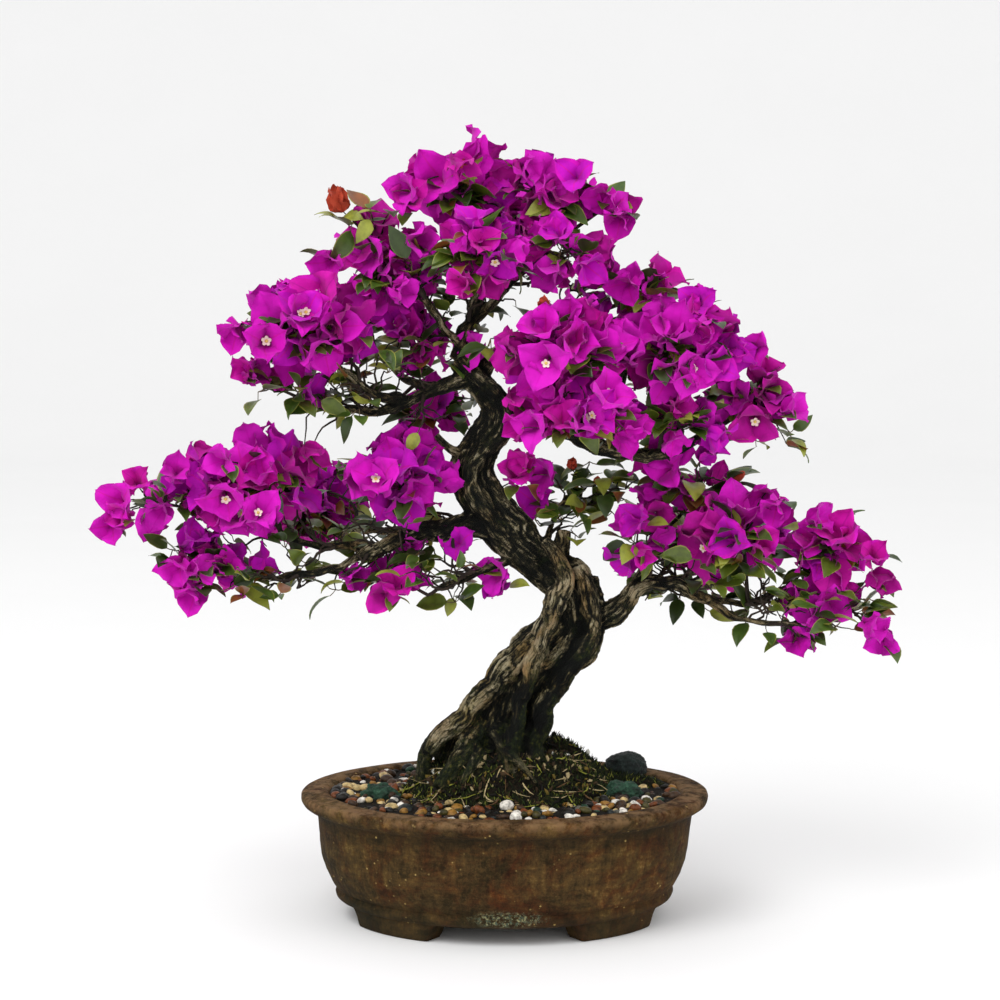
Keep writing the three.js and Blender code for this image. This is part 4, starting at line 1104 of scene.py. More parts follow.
class BONSAI_OT_mound(bpy.types.Operator):
    """Model the mossy mound with its tufts, straws and rootlets"""

    bl_idname = "bonsai.make_mound"
    bl_label = "Mound"

    def execute(self, context):
        sizes = context.scene.bonsai_ground
        rng = np.random.default_rng(23)
        rows, columns = 58, 170
        turn = np.linspace(0, 2 * math.pi, columns, endpoint=False)
        out = np.linspace(0.02, 1, rows)[:, None] * (1.06 + 0.36 * tongue(turn))
        x, y = (values.ravel() for values in on_mound(out, turn))
        piece = new_piece("moss_bed", place(np.c_[x, y, ground_height(x, y)]),
                          grid_faces(1, rows, columns, closed=True), [moss_finish()], "moss")
        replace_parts(piece, "moss_mound")
        self.tufts(sizes, rng)
        self.straws(sizes, rng)
        self.litter(sizes, rng)
        return {"FINISHED"}

    def strew(self, name, kinds, points, faces, count, rng, **look):
        """One piece of many like shapes, each of one kind."""
        finishes = [blade_finish(kind, color) for kind, color, _ in kinds]
        new_piece(name, points, faces, finishes, "moss",
                  np.repeat(dealt(kinds, count, rng), len(faces) // count), **look)

    def litter(self, sizes, rng):
        """Flakes of bark and dead leaf, and a few bits of white grit, most of them by the trunk."""
        x = rng.normal(2, 48, sizes.flakes * 3)
        y = rng.normal(-22, 28, sizes.flakes * 3)
        near = from_mound(x, y) < 1.06
        x, y = x[near][:sizes.flakes], y[near][:sizes.flakes]
        count = len(x)
        z = ground_height(x, y) + rng.uniform(0, 2.2, count)
        points, faces = ball(1)
        points = points * (1 + 0.22 * np.sin(5 * points[:, :1] + 3 * points[:, 1:2]))
        length = rng.uniform(1.2, 4.6, count)
        scales = length[:, None] * rng.uniform((0.8, 0.28, 0.14), (1.1, 0.6, 0.34), (count, 3))
        points, faces = many(points, faces, np.c_[x, y, z], scales, any_turns(count, rng))
        self.strew("litter", FLAKES, place(points), faces, count, rng, smooth=False)

    def tufts(self, sizes, rng):
        """Short blades of moss in three greens."""
        count = sizes.tufts
        turn = rng.uniform(0, 2 * math.pi, count)
        out = np.sqrt(rng.uniform(0.05, 1.08, count)) * (1 + 0.3 * tongue(turn))
        x, y = on_mound(out, turn)
        roots = place(np.c_[x, y, ground_height(x, y) - 0.4])
        lean = rng.normal(0, 0.55, (count, 3)) * (1, 1, 0) + (0, 0, 1)
        length = rng.uniform(1.2, 3.2, count)[:, None] * rng.choice((1, 1.7)) * MM
        tips = roots + unit(lean) * length
        bow = roots * 0.5 + tips * 0.5 + rng.normal(0, 0.3 * MM, (count, 3))
        radii = np.tile([0.55 * MM, 0.42 * MM, 0.06 * MM], (count, 1))
        self.strew("moss_tufts", TUFTS, *tubes(np.stack([roots, bow, tips], 1), radii, 3),
                   count, rng)

    def straws(self, sizes, rng):
        """Dry blades and pale rootlets that lie on the mound."""
        count = sizes.straws
        turn = rng.uniform(math.pi, 2 * math.pi, count)
        out = np.sqrt(rng.uniform(0.2, 1.05, count))
        x, y = (values[:, None] for values in on_mound(out, turn))
        heading = rng.uniform(0, 2 * math.pi, count)[:, None]
        length = rng.uniform(8, 30, count)[:, None]
        share = np.linspace(-0.5, 0.5, 7)
        bow = rng.normal(0, 0.6, count)[:, None] * (1 - 4 * share**2)
        x = x + np.cos(heading) * length * share - np.sin(heading) * bow
        y = y + np.sin(heading) * length * share + np.cos(heading) * bow
        z = ground_height(x.ravel(), y.ravel()).reshape(x.shape)
        z = z.mean(1, keepdims=True) * 0.6 + z * 0.4 + 1.8
        z = z + rng.normal(0, 3.5, (count, 1)) * share + np.maximum(0, share) * 4
        radii = rng.uniform(0.3, 0.75, (count, 1)) * (1 - 1.6 * np.abs(share)) * MM
        self.strew("straws", STRAWS, *tubes(place(np.stack([x, y, z], -1)), radii, 5), count, rng)


class BONSAI_OT_rocks(bpy.types.Operator):
    """Set the dark rocks on the gravel"""

    bl_idname = "bonsai.make_rocks"
    bl_label = "Rocks"

    def execute(self, context):
        points, faces = ball(5)
        stones = {"dark": rock_finish("dark_stone", srgb(8, 12, 12), srgb(28, 42, 38)),
                  "green": rock_finish("mossy_stone", srgb(7, 18, 12), srgb(40, 80, 58))}
        for name, (centre, radii, unevenness, stone, seed) in ROCKS.items():
            bulge = unevenness * (0.3 * noise_over(points, 1.7, (seed, 0, 0))
                                  + 0.16 * noise_over(points, 4.5, (0, seed, 0))
                                  + 0.07 * noise_over(points, 11, (0, 0, seed)))
            shaped = points * (1 + bulge[:, None])
            shaped[:, 2] = np.maximum(shaped[:, 2], -0.45)
            piece = new_piece(name, place(shaped * radii + centre), faces, [stones[stone]], "rock")
            if name == "rock_right":
                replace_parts(piece, "boulder")
        return {"FINISHED"}


# Trunk and boughs


# Folds of the trunk: where they start and end along it, their place round it, their distance
# from its middle and their thickness as shares of its radius.
FOLDS = [
    (0.0, 0.62, 2.5, 0.64, 0.42), (0.0, 1.0, 3.7, 0.60, 0.44), (0.0, 0.8, 4.9, 0.66, 0.40),
    (0.0, 1.0, 0.0, 0.60, 0.44), (0.0, 0.9, 1.3, 0.64, 0.42), (0.12, 0.5, 4.3, 0.78, 0.26),
    (0.3, 0.75, 3.1, 0.76, 0.28), (0.2, 0.66, 5.5, 0.76, 0.28), (0.5, 1.0, 4.4, 0.70, 0.32),
]
FOLD_TWIST = 2.2
# Burls and hollows: middle in mm, radius, and how far they swell or sink.
BURLS = [
    (36, -24, 258, 13, 3.0), (-30, -20, 148, 15, 3.5), (72, -10, 252, 9, 2.5),
    (-14, -14, 330, 10, 2.5), (-8, -20, 398, 9, 2.0), (22, -34, 214, 12, 2.5),
    (58, -30, 236, 7, -7.0), (-4, -32, 166, 8, -6.0), (20, -36, 192, 6, -5.0),
    (-16, -26, 140, 8, -6.0), (30, -14, 284, 6, -5.0), (-18, -18, 352, 6, -4.0),
]


def limb_skin(limb, sides=20):
    """Points and faces of a closed tube over a limb."""
    path, (_, aside, across) = limb.path, limb.frame()
    turn = np.arange(sides) / sides * 2 * math.pi
    rings = path[:, None] + limb.radii[:, None, None] * (
        np.cos(turn)[:, None] * aside[:, None] + np.sin(turn)[:, None] * across[:, None])
    points = np.vstack([rings.reshape(-1, 3), path[:1], path[-1:]])
    faces = grid_faces(1, len(path), sides, closed=True).tolist()
    last = (len(path) - 1) * sides
    for i in range(sides):
        after = (i + 1) % sides
        faces.append([i, len(points) - 2, after])
        faces.append([last + after, len(points) - 1, last + i])
    return points, faces


def trunk_lines(trunk):
    """The trunk's core, the strips of old wood, and the twisted folds that lie along it."""
    frame = trunk.frame()
    share = trunk.along / trunk.along[-1]
    height = (trunk.path[:, 2] - SEAT[2]) / MM
    foot = np.clip(1 - (height - MOUND["top"]) / 34, 0, 1.1) ** 2
    yield Limb(trunk.path, trunk.radii * (0.76 + 0.16 * foot))
    for order, (points, radii) in enumerate(STRIPS):
        path = spline(place(points), 8)
        reach = np.interp(np.linspace(0, len(radii) - 1, len(path)), np.arange(len(radii)), radii)
        yield Limb(gnarled(path, 40 + order), reach * MM * (0.5 + 0.5 * knobs(path * 0.4, order)))
    for order, (begin, end, turn, off, thick) in enumerate(FOLDS):
        kept = (share >= begin - 1e-6) & (share <= end + 1e-6)
        on = share[kept]
        wobble = noise_over(np.outer(on, [9, 0, 0]), 1, (0, order * 3.7, 0.5))
        swell = noise_over(np.outer(on, [16, 0, 0]), 1, (0, order * 5.1, 8.5))
        round_it = turn + FOLD_TWIST * on + 0.5 * wobble
        ends = smoothstep(0, 0.07, on - begin + 0.04 * (begin == 0)) * smoothstep(
            0, 0.07, end - on + 0.06 * (end == 1))
        radius = trunk.radii[kept]
        _, aside, across = (axis[kept] for axis in frame)
        away = np.cos(round_it)[:, None] * aside + np.sin(round_it)[:, None] * across
        splay = 1 + 0.45 * foot[kept] * (0.5 + 0.5 * math.cos(turn * 2 + 0.6))
        path = trunk.path[kept] + away * (radius * off * (0.92 + 0.14 * swell) * splay)[:, None]
        front = smoothstep(0.1, 0.6, -away[:, 1]) * smoothstep(300, 275, height[kept])
        yield Limb(path, radius * thick * (1 + 0.34 * swell) * (0.3 + 0.7 * ends)
                   * (1 - 0.6 * front))


def grain_places(points, limbs):
    """Each point's place on the limb whose skin is nearest: along it, turn round it, radius."""
    path = np.vstack([limb.path for limb in limbs])
    radii = np.concatenate([limb.radii for limb in limbs])
    starts = np.cumsum([0] + [limb.along[-1] + 0.05 for limb in limbs])[:-1]
    along = np.concatenate([limb.along + start for limb, start in zip(limbs, starts)])
    ahead, side, across = (np.vstack(axes) for axes in zip(*(limb.frame() for limb in limbs)))
    nearest = np.empty(len(points), int)
    for start in range(0, len(points), 4000):
        part = points[start:start + 4000]
        gap = (part**2).sum(1)[:, None] + (path**2).sum(1) - 2 * part @ path.T
        nearest[start:start + 4000] = (np.sqrt(np.maximum(gap, 0)) - radii).argmin(1)
    away = points - path[nearest]
    turn = np.arctan2((away * across[nearest]).sum(1), (away * side[nearest]).sum(1))
    forward = (away * ahead[nearest]).sum(1)
    return along[nearest] + forward, turn, radii[nearest]


def bark_relief(points, limbs, twist):
    """The bark's height at each point, its limb's radius, and its place in the grain."""
    along, turn, radius = grain_places(points, limbs)
    turn = turn + along * twist
    width = np.minimum(radius, 0.03) / MM
    x, y, z = np.cos(turn) * width, np.sin(turn) * width, along / MM
    height = np.empty(len(points))
    for i in range(len(points)):
        a, b, c = x[i], y[i], z[i]
        warp = 2.5 * noise.noise(Vector((a * 0.06, b * 0.06, c * 0.05)))
        ridge = 1 - abs(noise.noise(Vector((a * 0.1 + warp, b * 0.1, c * 0.012)))) * 2.2
        plate = noise.voronoi(Vector((a * 0.14, b * 0.14 + warp * 0.3, c * 0.026)))[0]
        crack = min(1.0, (plate[1] - plate[0]) * 3.0)
        grit = noise.noise(Vector((a * 0.7, b * 0.7, c * 0.28)))
        height[i] = 0.45 * ridge + 0.4 * crack + 0.2 * grit
    return height, radius, np.stack([x, y, z], 1)


def eased_points(points, edges, rounds):
    """Points drawn to the mean of their neighbours, some rounds over."""
    count = len(points)
    degree = np.bincount(edges.ravel(), minlength=count)[:, None]
    for _ in range(rounds):
        total = np.stack([np.bincount(edges[:, 0], points[edges[:, 1], k], count)
                          + np.bincount(edges[:, 1], points[edges[:, 0], k], count)
                          for k in range(3)], 1)
        points = 0.5 * points + 0.5 * total / np.maximum(degree, 1)
    return points


def vertex_data(mesh):
    """A mesh's points, their normals and its edges."""
    points, normals = np.empty(len(mesh.vertices) * 3), np.empty(len(mesh.vertices) * 3)
    edges = np.empty(len(mesh.edges) * 2, np.int32)
    mesh.vertices.foreach_get("co", points)
    mesh.vertices.foreach_get("normal", normals)
    mesh.edges.foreach_get("vertices", edges)
    return points.reshape(-1, 3), normals.reshape(-1, 3), edges.reshape(-1, 2)


class BONSAI_OT_limbs(bpy.types.Operator):
    """Grow the trunk and boughs into one skin and carve their bark"""

    bl_idname = "bonsai.make_limbs"
    bl_label = "Trunk and boughs"

    def execute(self, context):
        sizes, colors = context.scene.bonsai_bark, context.scene.bonsai_colors
        trunk, *boughs = make_limbs().values()
        lines = [*trunk_lines(trunk), *boughs]
        for points, thick in TRUNK_EXTRAS:
            path = spline(place(points), 6)
            lines.append(Limb(path, taper(path, thick)))
        whole = self.grown_together(context, [limb_skin(line) for line in lines], sizes.voxel)
        points, normals, edges = vertex_data(whole)
        relief, radius, grain = bark_relief(points, lines, sizes.twist)
        for x, y, z, reach, swell in BURLS:
            points = points + normals * (swell * MM * nearness(points, (x, y, z), reach))[:, None]
        depth = np.minimum(sizes.depth, 0.32 * radius)
        points = points + normals * ((relief - 0.6) * depth)[:, None]
        self.mark(whole, points, normals, edges, relief, grain)
        whole.vertices.foreach_set("co", points.ravel())
        whole.polygons.foreach_set("use_smooth", np.ones(len(whole.polygons), bool))
        whole.materials.clear()
        whole.materials.append(bark_finish(colors))
        whole.update()
        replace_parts(add_piece("bark", whole, "bark"), "trunk", *BOUGHS)
        return {"FINISHED"}

    def mark(self, mesh, points, normals, edges, relief, grain):
        """Note on the mesh what its material reads: relief, pale and dark patches, moss and grain.
        The relief holds painted shade in hollows and painted light on bulges, the dark patches
        partly painted shade.
        """
        # How far each point stands out from its eased neighbours, finely and broadly: hollows turn
        # darker and bulges lighter, as painted shade and painted light.
        fine, broad = (((points - eased_points(points, edges, rounds)) * normals).sum(1) / MM
                       for rounds in (4, 24))
        # Pale weathered patches, and dark ones that are partly painted shade.
        age_and_painted_shade = sum((share * nearness(points, (x, y, z), reach)
                   for x, y, z, reach, share in WEATHERING_AND_PAINTED_SHADE), 0.5)
        height = (points[:, 2] - SEAT[2]) / MM
        shaded = smoothstep(-0.1, 0.8, normals[:, 0] * 0.8 + normals[:, 2] * 0.3)
        for name, values in (
                ("relief", 0.45 + 0.22 * fine + 0.16 * broad + 0.22 * (relief - 0.6)),
                ("age_and_painted_shade", age_and_painted_shade),
                ("moss", smoothstep(250, 150, height) * shaded
                 + 0.5 * smoothstep(165, 118, height))):
            layer = mesh.attributes.new(name, "FLOAT", "POINT")
            layer.data.foreach_set("value", np.clip(values, 0, 1).astype(np.float32))
        layer = mesh.attributes.new("grain", "FLOAT_VECTOR", "POINT")
        layer.data.foreach_set("vector", grain.astype(np.float32).ravel())

    def grown_together(self, context, skins, voxel):
        """One even skin over all the given skins."""
        points, faces, start = [], [], 0
        for part, part_faces in skins:
            points.append(part)
            faces += [[start + i for i in face] for face in part_faces]
            start += len(part)
        mesh = bpy.data.meshes.new("limb_skins")
        mesh.from_pydata(np.vstack(points).tolist(), [], faces)
        rough = bpy.data.objects.new("limb_skins", mesh)
        context.scene.collection.objects.link(rough)
        grown = rough.modifiers.new("grown together", "REMESH")
        grown.mode = "VOXEL"
        grown.voxel_size = voxel
        eased = rough.modifiers.new("eased", "SMOOTH")
        eased.factor, eased.iterations = 0.5, 3
        whole = bpy.data.meshes.new_from_object(
            rough.evaluated_get(context.evaluated_depsgraph_get()))
        bpy.data.objects.remove(rough)
        if not whole.polygons:
            raise RuntimeError("The limbs' skins did not grow together")
        return whole


# Foliage


# Sky that shows through the crown from the front: middle and half sizes across and up.
SKY_GAPS = [
    (-103, 591, 21, 33), (-62, 634, 33, 19), (26, 622, 25, 13), (118, 573, 16, 33),
    (92, 541, 21, 10), (145, 538, 41, 21), (-146, 552, 17, 28), (235, 436, 14, 41),
    (-183, 406, 35, 12), (-105, 387, 19, 13), (-51, 384, 10, 9), (-220, 383, 17, 9),
    (-297, 354, 24, 11), (-281, 301, 21, 9), (-271, 266, 9, 21), (-242, 241, 27, 9),
    (-124, 260, 13, 7), (-59, 252, 17, 7), (-93, 472, 12, 13), (-51, 477, 7, 9),
    (-36, 468, 6, 11), (291, 327, 21, 14), (230, 310, 9, 21), (106, 521, 9, 6),
    (-174, 286, 11, 7), (-162, 254, 19, 7), (-4, 468, 16, 13), (75, 369, 17, 9),
    (119, 357, 8, 9), (174, 369, 21, 9), (191, 214, 32, 17), (79, 318, 11, 11),
    (-86, 425, 11, 9), (-130, 381, 16, 9), (147, 371, 36, 6), (191, 358, 17, 6), (34, 375, 30, 5),
    (-305, 353, 21, 7), (-64, 614, 17, 7), (39, 611, 24, 6), (86, 540, 16, 12),
    (205, 458, 17, 10), (-172, 515, 27, 7), (87, 318, 16, 9),
    (85, 267, 16, 10), (223, 305, 16, 9), (275, 332, 22, 8), (257, 209, 27, 9),
    (133, 244, 25, 14), (-31, 236, 39, 16), (-98, 472, 10, 10), (-78, 476, 9, 6),
    (-57, 469, 6, 10), (-94, 380, 8, 12), (-1, 463, 7, 9), (-24, 401, 6, 9),
    (146, 380, 11, 4), (198, 373, 12, 6), (108, 225, 39, 17), (-162, 244, 47, 9),
    (177, 468, 11, 8), (-133, 544, 11, 6), (67, 577, 5, 11),
    (-219, 491, 14, 20), (-156, 530, 11, 13), (-138, 547, 11, 9), (-72, 609, 14, 9),
    (34, 612, 19, 10), (165, 521, 17, 19),
    (242, 428, 16, 32), (242, 381, 13, 9), (6, 364, 12, 12), (233, 341, 9, 11),
    (291, 332, 27, 13), (311, 314, 9, 16), (314, 222, 9, 24), (263, 212, 24, 8),
    (221, 222, 9, 11), (-95, 239, 19, 11), (-47, 242, 13, 9), (-12, 258, 21, 11),
    (19, 260, 13, 11), (-277, 286, 16, 19), (-254, 241, 16, 8), (-148, 259, 17, 8),
    (-330, 316, 11, 17), (-300, 364, 24, 9), (-227, 414, 17, 16), (-214, 450, 9, 11),
    (-191, 401, 27, 8), (-226, 383, 11, 8), (-90, 381, 7, 12),
]

# The crown's upper and lower edge seen from the front, across and up.
CROWN_TOP = [
    (-322, 318), (-319, 331), (-310, 344), (-302, 350), (-280, 352), (-271, 362), (-252, 373),
    (-243, 381), (-235, 383), (-230, 374), (-217, 376), (-215, 472), (-208, 483), (-198, 494),
    (-189, 503), (-172, 504), (-152, 506), (-144, 512), (-141, 522), (-135, 534), (-130, 543),
    (-123, 550), (-118, 563), (-101, 567), (-85, 567), (-79, 582), (-73, 599), (-58, 606),
    (-43, 614), (-33, 621), (-18, 623), (-8, 616), (0, 606), (14, 605), (23, 597), (32, 595),
    (44, 606), (72, 604), (79, 594), (89, 586), (98, 580), (106, 564), (109, 521), (126, 514),
    (145, 516), (155, 504), (170, 501), (173, 476), (186, 461), (199, 458), (215, 452),
    (220, 433), (228, 417), (237, 405), (242, 330), (250, 324), (273, 327), (289, 314),
    (301, 295), (308, 262), (312, 222),
]
CROWN_FOOT = [
    (-322, 319), (-317, 306), (-301, 305), (-288, 310), (-273, 316), (-269, 262), (-261, 251),
    (-250, 245), (-239, 251), (-229, 259), (-213, 260), (-204, 249), (-191, 260), (-162, 263),
    (-127, 260), (-111, 260), (-95, 250), (-81, 249), (-70, 259), (-51, 260), (-42, 248),
    (-31, 259), (-4, 259), (14, 263), (32, 270), (52, 266), (84, 258), (115, 259), (155, 247),
    (187, 236), (211, 228), (229, 218), (248, 223), (268, 225), (283, 217), (309, 212),
]

# Growth that catches the eye from the front, by its place across and up.
ACCENTS = {
    "head": [(-296, 322), (-196, 436), (-2, 278), (20, 364), (36, 356), (8, 350), (286, 236),
             (-86, 262), (-124, 276), (-35, 298), (-19, 456), (-65, 403), (-85, 501),
             (-51, 409), (-27, 503), (26, 330), (-256, 284), (-243, 266), (-249, 276),
             (-72, 578), (-75, 564), (-134, 524), (-245, 376),
             (-220, 366), (-309, 314), (-255, 295), (17, 391), (29, 393), (46, 391),
             (208, 341), (217, 335), (240, 317), (291, 276), (302, 223), (232, 225),
             (0, 268), (-96, 260), (-299, 332), (-289, 344), (144, 495),
             (153, 486), (98, 506), (-207, 473), (160, 476), (12, 595), (154, 364),
             (219, 404), (-203, 432),
             (4, 419), (15, 411), (57, 585), (79, 575), (93, 560), (78, 561), (-41, 602),
             (-158, 376), (-259, 354), (-75, 297), (109, 317), (120, 324), (132, 357), (291, 286),
             (196, 454)],
    "bud": [(-126, 560, 0.95), (28, 485, 0.42), (53, 358, 0.4), (-30, 591, 0.5),
            (73, 346, 0.28)],
    "star": [(-165, 478), (-157, 472), (-190, 458), (-140, 490), (56, 393), (64, 395),
             (77, 410), (36, 446), (97, 444), (-219, 343), (-200, 318), (-193, 318),
             (-118, 352), (-98, 346), (132, 372)],
    "leaf": [(-206, 262), (-219, 263), (232, 227), (267, 236), (-39, 252), (-194, 419),
             (225, 387), (198, 381), (64, 334), (45, 318), (77, 348), (34, 334), (85, 324),
             (56, 306), (-104, 558), (-119, 552), (-90, 559), (-73, 521), (4, 521),
             (-70, 456), (-82, 435), (-94, 452), (-43, 493), (147, 266), (155, 286),
             (24, 318), (95, 334), (-147, 413), (-63, 274), (-134, 262), (-96, 270),
             (-39, 417), (-30, 408), (-37, 397), (-59, 458), (-47, 443), (-43, 483), (-19, 470),
             (-11, 461), (-263, 294), (-124, 267), (67, 364), (221, 381), (289, 255),
             (191, 242), (-63, 298), (-112, 421), (-130, 425)],
}


# In metres: how far accents keep behind the box's front and branchlets inside the box, how far
# heads keep from limbs, and the least radius of a mass with bracts of full length.
ACCENT_ROOM = 0.034
BRANCHLET_ROOM = 0.012
LIMB_ROOM = 0.006
FULL_MASS = 0.036
GOLDEN_SHARE = 0.618034
GOLDEN_ANGLE = 2.39996


def spread(index, start):
    """The six ends of a ball first, then even directions round it in well-spread order."""
    ends = ((1, 0, 0), (-1, 0, 0), (0, 0, 1), (0, -1, 0), (0, 1, 0), (0, 0, -1))
    if index < len(ends):
        return np.array(ends[index], float)
    lift = 1 - 2 * ((index * GOLDEN_SHARE) % 1)
    flat = math.sqrt(1 - lift * lift)
    turn = start + index * GOLDEN_ANGLE
    return np.array([flat * math.cos(turn), flat * math.sin(turn), lift])


def winding(begin, end, rng, kink, steps=6):
    """A twig's line from begin to end, with small bends."""
    share = np.linspace(0, 1, steps)[:, None]
    line = begin + (end - begin) * share
    bends = rng.normal(0, kink, (steps, 3))
    bends[0] = bends[-1] = 0
    rise = np.sin(share * math.pi) * np.array([0, 0, 1]) * np.linalg.norm(end - begin) * 0.08
    return line + bends + rise


# Tints of bracts and leaves, as shares of the main colour or colours of their own. The deep and
# rose bract tints also serve as painted shade, dealt to heads deep in a mass or facing down.
BRACT_TINTS = {"magenta": 1, "bright": (1.04, 4, 1.08), "violet": (0.88, 0.95, 1.06),
               "deep": (0.74, 0.8, 0.62), "rose": (0.94, 1.2, 0.76)}
LEAF_TINTS = {"green": 1, "dark": 0.45, "olive": (1.5, 1.15, 0.8)}
YOUNG_BRACT = srgb(176, 66, 44)
YOUNG_LEAVES = {"young": srgb(140, 146, 52), "bronze": srgb(124, 72, 34), "rim": srgb(136, 138, 56)}
MAGENTA, BRIGHT, DEEP, ROSE, YOUNG = 0, 1, 3, 4, 5
GREEN, RIM = 0, 5
# The tint that a rib or a rim takes for each tint of its blade. On bracts the darker rib tint is
# painted shade in the crease, and the lighter rim tint a painted sheen.
BRACT_RIB_SHADE = (ROSE, MAGENTA, ROSE, DEEP, DEEP, YOUNG)
BRACT_RIM_SHEEN = (BRIGHT, BRIGHT, MAGENTA, ROSE, MAGENTA, YOUNG)
LEAF_RIMS = (RIM, GREEN, RIM, RIM, RIM, RIM)


class Growth:
    """What grows in a tier: twigs, stalks, leaves, bracts, flowers and buds."""

    def __init__(self, sizes):
        self.sizes = sizes
        self.twigs, self.stalks, self.bracts = [], [], []
        self.leaves, self.flowers, self.buds = [], [], []

    def twig(self, line, thick):
        self.twigs.append((line, np.linspace(thick[0], thick[1], len(line)) * MM))

    def leaf(self, root, out, rng, size=1.0, tint=None):
        """A leaf on a short stalk, its blade nearly level and its tip hanging."""
        out = unit(out + rng.normal(0, 0.25, 3))
        length = self.sizes.leaf_length * size * rng.uniform(0.68, 1.12)
        stalk = root + out * length * 0.24 + np.array([0, 0, -0.0008])
        self.stalks.append((root, stalk))
        up = unit(np.array([0, -0.18, 1.0]) + rng.normal(0, 0.42, 3) - out * 0.2)
        if tint is None:
            tint = rng.choice(5, p=(0.34, 0.2, 0.24, 0.14, 0.08))
        droop = math.radians(rng.uniform(95, 150))
        self.leaves.append((stalk, up, out, length, length * rng.uniform(0.54, 0.68),
                            math.radians(rng.uniform(70, 100)), droop, tint))

    def head(self, root, face, rng, size, shade, star, young=False):
        """Three bracts round one axis, with or without an open flower."""
        length = self.sizes.bract_length * size
        side = unit(np.cross(face, rng.normal(size=3)))
        other = np.cross(face, side)
        gape = math.radians(rng.uniform(48, 88) if star else rng.triangular(22, 62, 92))
        # Heads deep in a mass or facing down take the deep or rose tint: painted shade.
        if shade > 0.55:
            tint = rng.choice((DEEP, ROSE))
        else:
            tint = rng.choice(5, p=(0.34, 0.2, 0.2, 0.14, 0.12))
        if young:
            tint, gape = YOUNG, math.radians(14)
        for k in range(3):
            turn = math.radians(120 * k) + rng.normal(0, 0.14)
            out = math.cos(turn) * side + math.sin(turn) * other
            self.bracts.append((root, face, out, length * rng.uniform(0.86, 1.1),
                                length * rng.uniform(0.78, 0.96), math.radians(rng.uniform(10, 24)),
                                gape + rng.normal(0, 0.16), tint))
        if star:
            tube = root + face * length * 0.42 + side * 0.0015
            self.stalks.append((root, tube))
            self.flowers.append((tube, unit(face + rng.normal(0, 0.15, 3)), rng.uniform(0.9, 1.1)))

    def spray(self, begin, tip, face, rng, blossom, shade, thick, fit):
        """A twig with its leaves, that ends in blossom or in young leaves."""
        line = winding(begin, tip, rng, 0.0012)
        self.twig(line, thick)
        ahead = unit(tip - begin)
        if blossom:
            heads = rng.choice((1, 2, 3), p=(0.3, 0.42, 0.28))
            apart = heads > 1
            side = unit(np.cross(face, rng.normal(size=3)))
            for k in range(heads):
                turn = 2 * math.pi * k / heads + rng.uniform(0, 1)
                aside = math.cos(turn) * side + math.sin(turn) * np.cross(face, side)
                root = tip + aside * 0.009 * apart - face * 0.003
                way = unit(face + aside * 0.7 * apart)
                self.stalks.append((line[-2], root))
                star = rng.random() < self.sizes.open_flowers
                self.head(root, way, rng, rng.uniform(0.8, 1.1) * fit, shade, star)
            count = rng.integers(2, 5)
        else:
            count = rng.integers(6, 10)
        for k in range(count):
            share = rng.uniform(0.4, 1.0)
            root = line[int(share * (len(line) - 1))]
            out = unit(np.cross(ahead, rng.normal(size=3)) + ahead * 0.5 + face * 0.3
                       + np.array([0, -0.1, -0.15]))
            self.leaf(root, out, rng, 1.0 if k else 0.85)
        if not blossom and rng.random() < 0.25:
            self.buds.append((tip, unit(face + np.array([0, 0, 0.5])), rng.uniform(0.7, 1.1)))


def clear_of(point, limbs):
    """Whether a point keeps clear of all limbs."""
    return all((np.linalg.norm(limb.path - point, axis=1) > limb.radii + LIMB_ROOM).all()
               for limb in limbs.values())


def from_front(point, stage):
    """Where a point stands seen from the front: across and up at the pot's middle, in mm."""
    across, depth, up = (point - SEAT) / MM
    eye = np.array([stage.aside, stage.height]) / MM
    share = stage.distance / (stage.distance + depth * MM)
    return eye + (np.array([across, up]) - eye) * share


def in_sky(points, stage):
    """Whether one of some points would close one of the gaps of sky."""
    seen = [from_front(point, stage) for point in points]
    return any(((across - x) / half) ** 2 + ((up - z) / rise) ** 2 < 1
               for x, z, half, rise in SKY_GAPS for across, up in seen)


def past_edge(point, reach, stage):
    """Whether a head of some reach would stand out of the crown's edge, seen from the front."""
    turn = np.arange(8) * math.pi / 4
    seen = from_front(point, stage) + reach / MM * np.stack([np.cos(turn), np.sin(turn)], 1)
    top = np.interp(seen[:, 0], *zip(*CROWN_TOP), left=0, right=0)
    foot = np.interp(seen[:, 0], *zip(*CROWN_FOOT), left=999, right=999)
    return bool(((seen[:, 1] > top) | (seen[:, 1] < foot)).any())


def front_place(across, up, stage):
    """The place on the front of the masses that is seen at a point, or else amid the crown."""
    eye = np.array([stage.aside, -stage.distance, stage.height]) + SEAT
    way = unit(place((across, 0, up)) - eye)
    best, radii_hit = None, None
    for _, _, centre, radii, _ in MASSES.values():
        reach = np.array(radii) * MM
        start, step = (eye - place(centre)) / reach, way / reach
        half, square = np.dot(start, step), np.dot(step, step)
        inner = half * half - square * (np.dot(start, start) - 1)
        if inner > 0:
            gone = (-half - math.sqrt(inner)) / square
            if best is None or gone < best:
                best, radii_hit = gone, reach[1]
    if best is None:
        return place((across, 0, up))
    spot = eye + way * (best + 0.25 * radii_hit)
    spot[1] = max(spot[1], CAD_BOX[0][1] + ACCENT_ROOM)
    return spot


